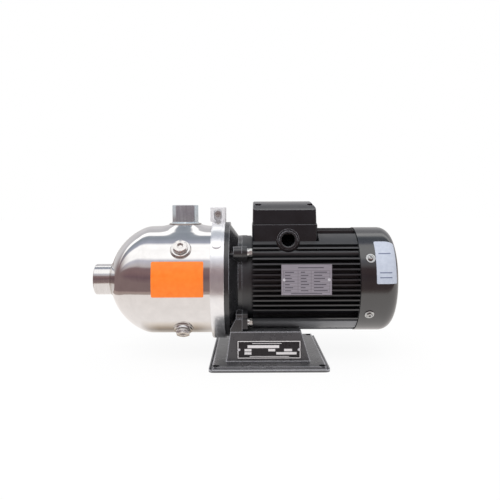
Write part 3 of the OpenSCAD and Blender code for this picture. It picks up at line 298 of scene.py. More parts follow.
def over(mat, mask, colour, **sockets):
    """Lays a colour, and other values for sockets, over a finish as far as the mask says."""
    tree = mat.node_tree
    shader = tree.nodes["Principled BSDF"]
    base = shader.inputs["Base Color"].links[0].from_socket
    feed(shader, Base_Color=mix(tree, mask, base, linear(colour)))
    for name, value in sockets.items():
        plain = shader.inputs[name.replace("_", " ")].default_value
        feed(shader, **{name: fade(tree, mask, 0, 1, plain, value)})
    return mat


def dress(finish_used, *nodes):
    """Gives CAD nodes that stay as they are their finish."""
    for node in nodes:
        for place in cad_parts[node].material_slots:
            place.material = finish_used


def quads_of(index, rows_close=False, columns_close=False):
    """The faces between neighbours in a grid of vertex numbers, as (rows, columns, corners)."""
    if rows_close:
        index = np.vstack([index, index[:1]])
    if columns_close:
        index = np.hstack([index, index[:, :1]])
    return np.stack([index[:-1, :-1], index[1:, :-1], index[1:, 1:], index[:-1, 1:]], -1)


def piece(name, grids, *options, **more_options):
    """One object from grids of points, finished with the options. A grid is (points, rows close,
    columns close), its points (rows, columns, 3) in millimetres in the shared frame. A face goes
    that has a corner which is not a number."""
    corners, quads, base = [], [], 0
    for points, *closes in grids:
        index = base + np.arange(points[..., 0].size).reshape(points.shape[:2])
        base += index.size
        quads.append(quads_of(index, *closes).reshape(-1, 4))
        corners.append(points.reshape(-1, 3) * METRE)
    corners, quads = np.concatenate(corners), np.concatenate(quads)
    quads = quads[~np.isnan(corners[quads]).any(axis=(1, 2))]
    mesh = bpy.data.meshes.new(name)
    mesh.from_pydata(np.nan_to_num(corners).tolist(), [], quads.tolist())
    return finished(name, mesh, *options, **more_options)


def finished(name, mesh, finish_used, slot=None, stands_for=(), body="pump", closed=True,
             crease=32.0):
    """Merges the mesh's doubles, turns its faces outwards, smooths it up to its creases and its
    open edges and hands it to the body that carries it."""
    shape = bmesh.new()
    shape.from_mesh(mesh)
    bmesh.ops.remove_doubles(shape, verts=shape.verts, dist=DOUBLES)
    bmesh.ops.dissolve_degenerate(shape, edges=shape.edges, dist=DOUBLES / 20)
    bmesh.ops.delete(shape, geom=[v for v in shape.verts if not v.link_faces], context="VERTS")
    if closed:
        bmesh.ops.recalc_face_normals(shape, faces=shape.faces)
    open_edges = [i for i, edge in enumerate(shape.edges) if edge.is_boundary]
    shape.to_mesh(mesh)
    shape.free()
    mesh.shade_smooth()
    mesh.set_sharp_from_angle(angle=math.radians(crease))
    for i in open_edges:
        mesh.edges[i].use_edge_sharp = True
    mesh.materials.clear()
    mesh.materials.append(finish_used)
    made = put(name, mesh)
    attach(made, body)
    if stands_for:
        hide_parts(*stands_for)
    return made


def thicken(made, thickness, offset=-1):
    """Gives a skin its sheet's thickness in millimetres, inwards unless told otherwise."""
    wall = made.modifiers.new("wall", "SOLIDIFY")
    wall.thickness = thickness * METRE
    wall.offset = offset


def full_turn(count):
    """The angles of count equal steps round a full turn."""
    return np.linspace(0, 2 * math.pi, count, endpoint=False)


def casing_line():
    """Outer line of the cup as (x, radius): the crown's arc from the inlet's hole, the knuckle's
    arc where it meets it smoothly, the straight barrel, and a quarter turn out to the rim."""
    throw, drop = CROWN_R - KNUCKLE_R, CASING_R - KNUCKLE_R
    turn = math.asin(drop / throw)
    knuckle_x = CROWN_X - throw * math.cos(turn)
    barrel_end = RIM_X - 2 * RIM_TURN
    crown = np.linspace(math.asin(INLET_HOLE / CROWN_R), turn, 34)
    knuckle = np.linspace(turn, math.pi / 2, 20)[1:]
    rim = np.linspace(0, math.pi / 2, 6)[1:]
    return np.concatenate([
        np.stack([CROWN_X - CROWN_R * np.cos(crown), CROWN_R * np.sin(crown)], 1),
        np.stack([knuckle_x - KNUCKLE_R * np.cos(knuckle), drop + KNUCKLE_R * np.sin(knuckle)], 1),
        np.linspace([knuckle_x, CASING_R], [barrel_end, CASING_R], 74)[1:],
        np.stack([barrel_end + RIM_TURN * np.sin(rim), CASING_R + RIM_TURN * (1 - np.cos(rim))], 1),
        [[RIM_X - RIM_TURN, RIM_R]]])


def hole_edge(u, v, radius, open_side):
    """For points at (u, v) from a hole's axis: their distance from it, which of them the hole
    takes, which of those lie too deep inside to move, and what carries the rest to its edge."""
    near = np.maximum(np.hypot(u, v), 1e-6)
    hit = (near < radius) & open_side
    return near, hit, hit & (near < radius - HOLE_MARGIN), radius / near


def casing_skin():
    """The cup turned about the shaft, as (line, angle). Near the outlet its height is the smooth
    larger one of the barrel's and a cone's about the outlet, which is steeper across the barrel
    than along it, and a point inside a hole moves straight out to the hole's edge, or goes if
    all round it is inside."""
    line = casing_line()
    x, radius, turn = np.broadcast_arrays(line[:, :1], line[:, 1:], full_turn(288))
    inside = np.zeros(x.shape, bool)
    for height in PLUG_ANGLES:
        at = math.radians(-90 + height)
        u, v = x - OUTLET_X, radius * np.sin(turn - at)
        hit, deep, push = hole_edge(u, v, PLUG_HOLE, np.cos(turn - at) > 0)[1:]
        inside |= deep
        x = np.where(hit, OUTLET_X + u * push, x)
        turn = np.where(hit, at + np.arcsin(np.clip(v * push / radius, -1, 1)), turn)
    y, z = radius * np.sin(turn), radius * np.cos(turn)
    u = x - OUTLET_X
    near, hit, deep, push = hole_edge(u, y, OUTLET_HOLE, z > 0)
    inside |= deep
    x = np.where(hit, OUTLET_X + u * push, x)
    y = np.where(hit, y * push, y)
    near = np.maximum(near, OUTLET_HOLE)
    barrel = np.sqrt(np.maximum(radius ** 2 - y ** 2, 0))
    slope = COLLAR_SLOPE[0] + COLLAR_SLOPE[1] * (y / near) ** 2
    collar = CASING_R + COLLAR_RISE - slope * (near - OUTLET_HOLE)
    blend = (barrel + collar + np.sqrt((barrel - collar) ** 2 + COLLAR_BLEND)) / 2
    share = np.clip((COLLAR_FOOT[1] - near) / (COLLAR_FOOT[1] - COLLAR_FOOT[0]), 0, 1)
    share = share * share * (3 - 2 * share)
    z = np.where((z > 0) & (near < COLLAR_FOOT[1]), barrel + (blend - barrel) * share, z)
    points = np.stack([x, y, z + SHAFT_Z], -1)
    points[inside] = np.nan
    return points


polished_sheet = finish("polished_stainless_sheet", ("#dcdad9", "#e3e1e0"), (0.03, 0.065), 14,
                        1.0, 0.07, bump_grain=30)
thicken(piece("casing_sheet", [(casing_skin(), False, True)], polished_sheet,
              "polished_stainless", ["pump_casing"], closed=False), CASING_WALL)

# Inlet socket
# A stainless pipe socket turned from bar, with an internal pipe thread, welded to the crown
# with one round bead. Its outside keeps the fine rings of the lathe tool.

INLET_R = 24.15
INLET_FACE_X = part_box("inlet_socket")[0].x / METRE
INLET_END_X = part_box("inlet_socket")[1].x / METRE
INLET_THREAD_R = 19.5
SPIGOT_R = 21.5
PIPE_PITCH = 2.309  # eleven turns to the inch
PIPE_DEPTH = 1.2
MOUTH = 1.8  # the chamfer into a thread
WELD_OUT = 0.5  # how far outside a socket its bead's middle runs
RIPPLE = 1.6  # step of a bead's ripples


def lengths(vectors):
    """The length of each row, as a column."""
    return np.linalg.norm(vectors, axis=1, keepdims=True)


def corner(points, radius, steps=3, closed=False):
    """Rounds a line's corners: each becomes a parabola's arc that starts and ends radius before
    and after it, or less where the neighbours are near."""
    points = np.asarray(points, float)
    before = np.roll(points, 1, 0) - points
    after = np.roll(points, -1, 0) - points
    reach = [np.minimum(radius, 0.45 * lengths(d)) / np.maximum(lengths(d), 1e-9)
             for d in (before, after)]
    start, end = points + before * reach[0], points + after * reach[1]
    t = np.linspace(0, 1, steps + 1)[None, :, None]
    arcs = (start[:, None] * (1 - t) ** 2 + 2 * points[:, None] * t * (1 - t) +
            end[:, None] * t ** 2)
    if closed:
        return arcs.reshape(-1, points.shape[1])
    return np.concatenate([points[:1], arcs[1:-1].reshape(-1, points.shape[1]), points[-1:]])


def ring_about(axes, count):
    """An axis's origin, its direction, and the directions square to it at count angles. axes are
    the origin, the direction, and the direction of angle nought; the third direction is the
    cross product of those two."""
    origin, along, across = (np.asarray(a, float) for a in axes)
    angle = full_turn(count)[:, None]
    return origin, along, np.cos(angle) * across + np.sin(angle) * np.cross(along, across)


def about(line, axes, count=96):
    """The grid of a line of (height, radius) turned about an axis. A radius may be a row of one
    value for each of the count angles."""
    origin, along, ring = ring_about(axes, count)
    return np.stack([origin + height * along + np.broadcast_to(radius, count)[:, None] * ring
                     for height, radius in line]), False, True


def lifted(base, line):
    """A line of (height, radius) whose heights are from a base."""
    return [(base + height, radius) for height, radius in line]


def thread(low, high, radius, depth, pitch, count=96):
    """Heights and radii of a screw thread: the radius is a triangle wave over height less one
    pitch for each full turn, and it runs out to nothing over a pitch at both ends."""
    height = np.linspace(low, high, int((high - low) / pitch * 6) + 2)
    phase = (height[:, None] / pitch - full_turn(count)[None, :] / (2 * math.pi)) % 1.0
    wave = 1 - np.abs(2 * phase - 1)
    ends = np.minimum(height - low, high - height) / pitch
    return [(h, radius + depth * w * min(max(e, 0), 1)) for h, w, e in zip(height, wave, ends)]


def bead(axes, height, radius, lean, size, count=160):
    """The grid of a weld bead at a radius round an axis, its height one value or one for each
    angle: a tube of a size along that closed line, which swells a little for each ripple that the
    torch left. lean is the way out of the joint, as its parts along the axis and away from it."""
    origin, along, ring = ring_about(axes, count)
    centre_line = origin + np.broadcast_to(height, count)[:, None] * along + radius * ring
    outward = lean[0] * along + lean[1] * ring
    length = np.cumsum(lengths(np.roll(centre_line, -1, 0) - centre_line))
    ripples = round(length[-1] / RIPPLE)
    swell = size * (1 + 0.10 * np.abs(np.sin(math.pi * ripples * length / length[-1])))
    ahead = np.roll(centre_line, -1, 0) - np.roll(centre_line, 1, 0)
    ahead /= lengths(ahead)
    beside = np.cross(ahead, outward)
    turn = full_turn(10)[:, None, None]
    tube = centre_line + swell[:, None] * (np.cos(turn) * outward + np.sin(turn) * beside)
    return tube, True, True


SHAFT_AXES = ((0, 0, SHAFT_Z), (1, 0, 0), (0, -1, 0))
turned_steel = finish("turned_stainless", ("#d6d4d3", "#e2e0df"), (0.1, 0.18), 1.3, 1.0, 0.004,
                      (1, 0.05, 0.05))
crown_seat = CROWN_X - math.sqrt(CROWN_R ** 2 - (INLET_R + WELD_OUT) ** 2)
mouth_x = INLET_FACE_X + MOUTH
outside = corner([[mouth_x, INLET_THREAD_R], [INLET_FACE_X, INLET_THREAD_R + MOUTH],
                  [INLET_FACE_X, INLET_R - 1.0], [INLET_FACE_X + 1.0, INLET_R],
                  [crown_seat, INLET_R]], 0.35)
inside = [[crown_seat, INLET_R], [crown_seat + 1.2, SPIGOT_R], [INLET_END_X, SPIGOT_R],
          [INLET_END_X, INLET_THREAD_R]]
inlet_thread = thread(mouth_x, INLET_END_X, INLET_THREAD_R, PIPE_DEPTH, PIPE_PITCH)
piece("inlet_pipe_socket", [about(line, SHAFT_AXES) for line in (outside, inside, inlet_thread)],
      turned_steel, "turned_stainless", ["inlet_socket"])

weld_steel = finish("weld_bead", ("#c9c3bc", "#b8b4b2"), (0.14, 0.3), 1.2, 1.0, 0.08)
piece("inlet_weld", [bead(((0, 0, SHAFT_Z), (-1, 0, 0), (0, -1, 0)), WELD_OUT - crown_seat,
                          INLET_R + WELD_OUT, (0.7, 0.72), 1.5)], weld_steel, "turned_stainless")

# Outlet socket
# An eight-sided stainless socket, cast and machined on its face and thread, welded into the
# collar's lip. Its flats show the brushing that cleaned the casting.

OUTLET_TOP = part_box("outlet_socket")[1].z / METRE
COLLAR_LIP = SHAFT_Z + CASING_R + COLLAR_RISE
OUTLET_THREAD_R = 15.15
OUTLET_HALF_FLATS = 18.8
OUTLET_TURN = math.radians(27.5)
OUTLET_FOOT_R = 23.0


def prism(count, sides, half_flats, sharpness, turn=0.0):
    """Radii of a prism's outline at count angles: a high power mean of what each side allows,
    so that its edges are a little round."""
    towards = full_turn(sides) + turn
    reach = np.maximum(np.cos(full_turn(count)[:, None] - towards), 0.01)
    return half_flats / (np.mean(reach ** sharpness, 1) * sides) ** (1 / sharpness)


def painted_edge_highlight(mat, edge_mm, colour):
    """Within edge_mm of an edge that doesn't face down, where a rounded normal leaves the face's
    own, a highlight is painted in another colour: painted light that the upper round edges catch."""
    tree = mat.node_tree
    rounded = add(tree, "Bevel", {"samples": 6}, Radius=edge_mm * METRE)
    agree = measure(tree, "DOT_PRODUCT", rounded, add(tree, "NewGeometry").outputs["Normal"])
    # Edges that face down get none of the painted highlight, since the light comes from above.
    height = add(tree, "SeparateXYZ", in0=rounded).outputs[2]
    up_facing = fade(tree, height, -0.12, -0.02, 0.0, 0.9)
    return over(mat, fade(tree, agree, 0.995, 0.92, 0.0, up_facing), colour)


UP_AT_OUTLET = ((OUTLET_X, 0, 0), (0, 0, 1), (1, 0, 0))
eight = prism(192, 8, OUTLET_HALF_FLATS, 260, OUTLET_TURN)
outlet_line = lifted(COLLAR_LIP, (
    (-3, OUTLET_THREAD_R), (-3, OUTLET_FOOT_R), (0.2, OUTLET_FOOT_R), (1.6, 21.8),
    (2.6, np.minimum(eight + 0.8, 21.2)), (3.6, eight), (8, eight))) + lifted(OUTLET_TOP, (
        (-0.8, eight), (-0.25, eight - 0.2), (0, eight - 0.75), (0, OUTLET_THREAD_R + 1.9),
        (-MOUTH, OUTLET_THREAD_R)))
outlet_thread = thread(COLLAR_LIP - 3, OUTLET_TOP - MOUTH, OUTLET_THREAD_R, PIPE_DEPTH,
                       PIPE_PITCH, 192)
# The socket's edges get a painted highlight in near white.
brushed_steel = painted_edge_highlight(finish("brushed_stainless", ("#c6d0d6", "#dce6ec"), (0.14, 0.26), 2.2,
                              0.85, 0.004, (1, 1, 0.08)), 1.1, "#fbfbfd")
piece("outlet_pipe_socket", [about(line, UP_AT_OUTLET, 192)
                             for line in (outlet_line, outlet_thread)],
      brushed_steel, "turned_stainless", ["outlet_socket"])
piece("outlet_weld", [bead(UP_AT_OUTLET, COLLAR_LIP - 0.1, OUTLET_FOOT_R + 0.6, (0.8, 0.6), 1.6)],
      weld_steel, "turned_stainless")

# Plug bosses, plugs and their washers
# Two turned bosses are welded over holes in the barrel's front. Each takes a stainless plug
# with a sealing washer: one to fill the pump, one to drain it. A plug's head is a collar and a
# hexagon with a hexagon socket, and its shank has a fine thread.

BOSS_R = 14.0
BOSS_TOP = CASING_R + 4.0
PLUG_R = 7.45
BOSS_FOOT = CASING_R - 3.4
BOSS_NECK_R = BOSS_R - 2.3
WASHER_T = 1.2
PLUG_PITCH = 1.337


def radial_axes(x, height, side=1):
    """Axis square to the shaft at x, height degrees above the horizontal, front or back."""
    a = math.radians(height)
    return ((x, 0, SHAFT_Z), (0, -side * math.cos(a), math.sin(a)), (1, 0, 0))


def boss_weld(height):
    """The bead round a boss, where a pipe of its radius meets the barrel: its height over the
    shaft is the barrel's circle at the pipe's distance from the middle."""
    reach = BOSS_R + 0.3
    saddle = np.sqrt(CASING_R ** 2 - (reach * np.sin(full_turn(120))) ** 2) + 0.1
    return bead(radial_axes(OUTLET_X, height), saddle, reach, (math.sqrt(0.5),) * 2, 1.3, 120)


boss_line = corner([[BOSS_FOOT, PLUG_R + 0.05], [BOSS_FOOT, BOSS_NECK_R],
                    [CASING_R - 1.0, BOSS_NECK_R], [CASING_R - 0.9, BOSS_R],
                    [BOSS_TOP, BOSS_R], [BOSS_TOP, PLUG_R + 0.9],
                    [BOSS_TOP - 0.9, PLUG_R + 0.05], [BOSS_FOOT, PLUG_R + 0.05]], 0.5)
plug_axes = [radial_axes(OUTLET_X, height) for height in PLUG_ANGLES]
piece("plug_boss_pair", [about(boss_line, axes) for axes in plug_axes], turned_steel,
      "turned_stainless", ["plug_bosses"])
piece("boss_welds", [boss_weld(height) for height in PLUG_ANGLES], weld_steel,
      "turned_stainless")

six = prism(96, 6, 9.5, 120)
socket = prism(96, 6, 4.0, 160)
head = BOSS_TOP + WASHER_T
plug_line = lifted(BOSS_TOP, ((-8, 0), (-8, PLUG_R - 1.0)))
plug_line += thread(BOSS_TOP - 7.5, head - 0.6, PLUG_R - 0.8, 0.8, PLUG_PITCH)
plug_line += lifted(head, (
    (0, PLUG_R), (0.02, 10.7), (0.3, 11.0), (1.2, 11.0), (1.47, 10.8), (1.5, six),
    (4.6, np.minimum(six, 10.96)), (5.1, np.minimum(six, 10.11)), (5.4, np.minimum(six, 9.6) - 0.1),
    (5.4, socket + 0.5), (5.0, socket), (2.4, socket), (2.4, 0)))
washer_line = corner([[BOSS_TOP, PLUG_R + 0.3], [BOSS_TOP, 11.2], [head, 11.2],
                      [head, PLUG_R + 0.3], [BOSS_TOP, PLUG_R + 0.3]], 0.4)
plug_steel = finish("plug_stainless", ("#d9d5d3", "#e2dfdc"), (0.16, 0.26), 1.5, 0.85, 0.01)
seal_fibre = finish("sealing_washer", ("#8f8a86", "#a39e99"), (0.4, 0.5), 0.6, 0.0, 0.02)
for use, axes in zip(("priming", "drain"), plug_axes):
    piece(use + "_plug_turned", [about(plug_line, axes)], plug_steel, "plug_steel",
          [use + "_plug"], use + "_plug")
    piece(use + "_washer_ring", [about(washer_line, axes)], seal_fibre, "seal_fibre",
          [use + "_washer"], use + "_washer")

# Stages and shaft seal
# Inside the casing: pressed stainless chambers and cover, welded sheet impellers on steel
# sleeves, white neck rings, and the seal's ceramic seat, carbon ring and spring.

dress(finish("pressed_stainless", ("#b2b4b6", "#c0c2c3"), (0.22, 0.34), 4, 1.0, 0.02),
      "inlet_cover", "stage_chamber_1", "stage_chamber_2", "stage_chamber_3",
      "discharge_chamber", "seal_cover")
dress(finish("impeller_sheet", ("#bdbdba", "#cbcbc8"), (0.2, 0.3), 3, 1.0, 0.01),
      "impeller_1", "impeller_2", "impeller_3", "impeller_4", "spacer_sleeves")
dress(finish("neck_ring_fluoropolymer", ("#efeee6", "#e4e3d9"), (0.5, 0.6), 2), "neck_rings")
dress(finish("black_rubber", ("#1b1b1b", "#232322"), (0.6, 0.75), 0.8, 0.0, 0.02),
      "casing_o_ring", "slinger", "terminal_gasket")
dress(finish("seal_ceramic", ("#efece4", "#e8e4da"), (0.12, 0.2), 3), "seal_seat")
dress(finish("seal_carbon_and_spring", ("#55575a", "#75777a"), (0.3, 0.45), 1, 0.9), "seal_head")
dress(finish("bright_zinc", ("#c3c6c9", "#b4b6b4"), (0.2, 0.34), 1.4, 1.0, 0.01), "shaft_nut")

# Clamp
# A V-section band of bright stainless sheet pulls the casing's rim and the seal cover on to
# the bracket. Its ends carry straps and folded box lugs, and a socket screw draws the lugs
# together. The lugs' front and back plates have a window through which the screw is turned.

CLAMP_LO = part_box("clamp_band")[0].x / METRE
CLAMP_R = 92.3
CLAMP_T = 1.6
CLAMP_X = -74.5
CLAMP_HALF = 10.0
FLANK_R = 86.2  # how far in the V's two flanks reach
FLANKS = ((-70.4, -68.2), (-82.4, -80.1))
GAP_HALF = 6.0  # half of the opening between the band's ends
STRAP_HALF = 7.5
STRAP_ANGLES = (4.2, 50.0, 54.6)  # from the top: its start, its round end's start and tip
SCREW_X = -76.25
SCREW_Z = SHAFT_Z + 103.0
LUG_TOP = SHAFT_Z + 113.0
LUG_BASE = SHAFT_Z + CLAMP_R - 1.2
LUG_X = (CLAMP_LO + 0.1, -64.6)
WINDOW_HALF = 6.0
WINDOW_Z = (SHAFT_Z + 92.5, SHAFT_Z + 109.9)
EDGE = 0.3  # round on a lug plate's edges


def round_shaft(x, radius, ahead, up):
    """Points at x along the shaft and at a radius from it, in the direction that its parts ahead
    of the pump and up give."""
    return np.stack(np.broadcast_arrays(x, -radius * ahead, radius * up + SHAFT_Z), -1)


def band(section, start, end, count):
    """The grid of a closed section of (x, radius) carried round the shaft from one angle to
    another, and closed at both ends: angles are from straight up, towards the front."""
    angle = np.radians(np.linspace(start, end, count))
    points = round_shaft(section[:, :1], section[:, 1:], np.sin(angle), np.cos(angle))
    middle = points.mean(0, keepdims=True)
    first, last = (np.broadcast_to(middle[:, column][:, None], (len(section), 1, 3))
                   for column in (0, -1))
    return np.concatenate([first, points, last], 1), True, False


def rectangle(low, high, radius, steps):
    """A rectangle's outline with round corners, from its low corner to its high one."""
    return corner([low, [high[0], low[1]], high, [low[0], high[1]]], radius, steps, closed=True)


def window_plate(y_front, y_back):
    """The grid of a lug's plate with its window, standing across the front: the plate's outline
    and the window's carried through the thickness, with a small round on each edge."""
    outer = rectangle([LUG_X[0], LUG_BASE], [LUG_X[1], LUG_TOP], 1.6, 6)
    hole = rectangle([SCREW_X - WINDOW_HALF, WINDOW_Z[0]], [SCREW_X + WINDOW_HALF, WINDOW_Z[1]],
                     4.5, 6)
    inwards = math.copysign(EDGE, y_back - y_front)
    middle = hole.mean(0)
    small, wide = (line + by * (line - middle) / lengths(line - middle)
                   for line, by in ((outer, -EDGE), (hole, EDGE)))
    rows = [(small, y_front), (outer, y_front + inwards), (outer, y_back - inwards),
            (small, y_back), (wide, y_back), (hole, y_back - inwards),
            (hole, y_front + inwards), (wide, y_front)]
    return np.stack([np.stack([line[:, 0], np.full(len(line), y), line[:, 1]], 1)
                     for line, y in rows]), True, True


def strap(side):
    """The grid of the strap on the band from the lug down to a round end: its half width follows
    a circle over the last stretch, and its edges come down on to the band."""
    start, bend, tip = STRAP_ANGLES
    down = np.radians(np.concatenate([np.linspace(start, bend, 24), bend + (tip - bend) * np.sin(
        np.linspace(0, math.pi / 2, 12)[1:])]))
    past = np.clip((down - math.radians(bend)) / math.radians(tip - bend), 0, 1)
    half = STRAP_HALF * np.sqrt(1 - past ** 2) + 0.001
    across = np.array([-1, -1, -0.955, -0.86, 0.86, 0.955, 1, 1])
    rise = np.array([-0.2, 1.0, 1.28, 1.4, 1.4, 1.28, 1.0, -0.2])
    radius = CLAMP_R + rise[:, None] - past ** 6 * 0.3
    x = CLAMP_X - 1.2 + across[:, None] * half
    return round_shaft(x, radius, side * np.sin(down), np.cos(down)), True, False


def wall(x0, x1, y0, y1, z0, z1):
    """The grid of a flat piece of sheet as a closed box with slightly round edges: an outline in
    x and y carried up, drawn in a little at its foot and head, and closed there."""
    edge = 0.35  # round on the sheet's edges
    outline = rectangle([x0, min(y0, y1)], [x1, max(y0, y1)], edge, 2)
    middle = outline.mean(0)
    inner = outline + edge * np.sign(middle - outline)
    rows = [(middle + 0 * outline, z0), (inner, z0), (outline, z0 + edge), (outline, z1 - edge),
            (inner, z1), (middle + 0 * outline, z1)]
    return np.stack([np.concatenate([line, np.full((len(line), 1), z)], 1)
                     for line, z in rows]), False, True


inner_r = CLAMP_R - CLAMP_T
band_section = [[CLAMP_X - CLAMP_HALF, CLAMP_R], [CLAMP_X + CLAMP_HALF, CLAMP_R],
                [CLAMP_X + CLAMP_HALF, inner_r]]
for near, far in FLANKS:
    band_section += [[far, inner_r], [far, FLANK_R], [near, FLANK_R], [near, inner_r]]
band_section = corner(band_section + [[CLAMP_X - CLAMP_HALF, inner_r]], 0.5, 3, closed=True)
clamp_sheet = finish("clamp_stainless", ("#ececee", "#f4f4f5"), (0.2, 0.27), 9, 0.9, 0.05,
                     bump_grain=45)
lug_sheet = finish("folded_lug_stainless", ("#eeeef1", "#f7f7f9"), (0.34, 0.42), 6, 0.25)
gap = math.degrees(math.asin(GAP_HALF / CLAMP_R))
lugs = []
for side in (1, -1):  # each lug's plate with the window, its two ends and its inner plate
    lugs.append(window_plate(-14 * side, -12 * side))
    for x0, x1, y0, y1, top in ((-66.5, LUG_X[1], 13.9, 6, LUG_TOP),
                                (LUG_X[0], -86, 13.9, 6, LUG_TOP),
                                (-87.9, -64.7, 7.5, 5.5, SHAFT_Z + 110)):
        lugs.append(wall(x0, x1, -y0 * side, -y1 * side, LUG_BASE, top))
piece("clamp_band_sheet", [
    band(band_section, gap, 360 - gap, 200), strap(1), strap(-1),
    wall(-84.5, -64.5, -7, 7, SHAFT_Z - CLAMP_R - 1.2, SHAFT_Z - 90.6)],
    clamp_sheet, "clamp_stainless", ["clamp_band"])
piece("clamp_lugs", lugs, lug_sheet, "clamp_stainless", ["clamp_band"])

zinc = finish("zinc_plated_steel", ("#d4d6d9", "#e0ded6"), (0.2, 0.34), 1.6, 0.85, 0.01)
SCREW_AXES = ((SCREW_X, 0, SCREW_Z), (0, -1, 0), (1, 0, 0))
hex_key = prism(96, 6, 2.5, 160)
screw_line = ([(-16, 0), (-16, 2.4)] + thread(-15.6, 4, 2.45, 0.5, 1.0) +
              [(7.5, 2.95), (7.52, 4.7), (7.8, 5.0), (13.0, 5.0), (13.4, 4.75), (13.52, 4.3),
               (13.52, hex_key + 0.3), (13.2, hex_key), (10.5, hex_key), (10.5, 0)])
nut_six = prism(96, 6, 5.0, 120)
nut_line = [(-12.6, 3.05), (-12.6, 4.6), (-12.3, np.minimum(nut_six, 5.3)), (-11.7, nut_six),
            (-8.4, nut_six), (-7.8, np.minimum(nut_six, 5.3)), (-7.6, 4.6), (-7.6, 3.05),
            (-12.6, 3.05)]
for name, line, node in (("clamp_screw", screw_line, "clamp_bolt"),
                         ("clamp_screw_nut", nut_line, "clamp_nut")):
    piece(name, [about(line, SCREW_AXES)], zinc, "zinc_steel", [node])

# Bracket and foot
# Two iron castings under black paint. The bracket carries the pump's cover in front and the
# motor behind. The foot is a base plate with a hollow pedestal. Sand-cast edges are round, and
# the paint is satin with the casting's fine orange-peel skin showing through.

FOOT_X = (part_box("foot")[0].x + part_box("foot")[1].x) / 2
BASE_HOLE_R = 5.0
BASE_HOLES = (76.5, 97.0)  # half of their spacing along the shaft and across it
CAST_DOUBLES = 4e-6  # metres between points that are one


def painted(name, tints, roughness, peel_mm, bump_mm, speck=0.0, **sockets):
    """Black paint: two tints over a cloudy noise, an orange-peel skin, and a few paler worn
    specks where a fine noise peaks."""
    mat = finish(name, tints, roughness, 18, 0.0, bump_mm, bump_grain=peel_mm, **sockets)
    if speck:
        tree = mat.node_tree
        over(mat, ramp(tree, grain(tree, 2.2, detail=5), [(0.70, 0.0), (0.78, speck)]), "#5a5856")
    return mat


def eased_casting(node, name, round_mm, finish_used, slot):
    """A cast part's CAD mesh with its doubles merged, its flat faces joined, and a small round
    put on each edge that turns by more than 32 degrees."""
    shape = bmesh.new()
    shape.from_mesh(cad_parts[node].data)
    bmesh.ops.remove_doubles(shape, verts=shape.verts, dist=CAST_DOUBLES)
    bmesh.ops.dissolve_limit(shape, angle_limit=math.radians(0.6), verts=shape.verts,
                             edges=shape.edges)
    sharp = [e for e in shape.edges if len(e.link_faces) == 2 and
             e.calc_face_angle() > math.radians(32)]
    bmesh.ops.bevel(shape, geom=sharp, offset=round_mm * METRE, segments=2, profile=0.5,
                    affect="EDGES", clamp_overlap=True)
    bmesh.ops.triangulate(shape, faces=[f for f in shape.faces if len(f.verts) > 4])
    mesh = bpy.data.meshes.new(name)
    shape.to_mesh(mesh)
    shape.free()
    if "custom_normal" in mesh.attributes:
        mesh.attributes.remove(mesh.attributes["custom_normal"])
    made = finished(name, mesh, finish_used, slot, [node], closed=False, crease=40.0)
    made.modifiers.new("even_shading", "WEIGHTED_NORMAL").keep_sharp = True


def painted_hole_shade(mat):
    """Painted shade, dull and dark, inside the four base holes and at their rims: where a point is
    no more than the hole's radius, and a little, from the nearest hole's axis."""
    tree = mat.node_tree
    place = add(tree, "TexCoord").outputs["Object"]
    beside = vector(tree, "ABSOLUTE", vector(tree, "SUBTRACT", place, (FOOT_X, 0, 0)))
    from_axis = vector(tree, "SUBTRACT", beside, [*(half * METRE for half in BASE_HOLES), 0])
    near = measure(tree, "LENGTH", vector(tree, "MULTIPLY", from_axis, (1, 1, 0)))
    inside = fade(tree, near, (BASE_HOLE_R + 1.4) * METRE, (BASE_HOLE_R + 0.6) * METRE, 0, 0.9)
    # Painted shade: the holes' walls go near black and lose their gloss.
    return over(mat, inside, "#060607", Specular_IOR_Level=0.0)


# Painted highlight along the bracket's upper edges.
bracket_black = painted_edge_highlight(painted("painted_bracket_iron", ("#1f1f21", "#272729"), (0.2, 0.3), 3.2,
                               0.008, speck=0.2, Specular_IOR_Level=0.9), 1.6, "#8e8e94")
# The foot's paint is a lighter, lit copy of the bracket's black: painted light for the stronger
# light that falls on it. Its upper edges get a painted highlight and its holes painted shade.
foot_black_lit = painted_hole_shade(painted_edge_highlight(painted(
    "painted_foot_iron", ("#3f3f42", "#48484a"), (0.24, 0.34), 3.6, 0.007, speck=0.15,
    Specular_IOR_Level=0.9), 2.7, "#b4b4ba"))
eased_casting("bracket", "bracket_casting", 0.9, bracket_black, "black_cast_iron")
eased_casting("foot", "foot_casting", 1.0, foot_black_lit, "black_cast_iron")
dress(zinc, "flange_bolts", "foot_bolts")

# Motor, from its core outwards
# Varnished laminations and copper end turns in a finned aluminium barrel, a cage rotor on the
# ground shaft, two ball bearings, and cast end shields held by long zinc-plated bolts. Barrel
# and shields are sprayed black; under the barrel a paler grey is painted in, a painted sheen
# for the floor's light that it reflects.

UNDERSIDE_SHEEN_Z = (0.060, 0.068)  # metres above the floor: below it lies the painted grey sheen, above it none

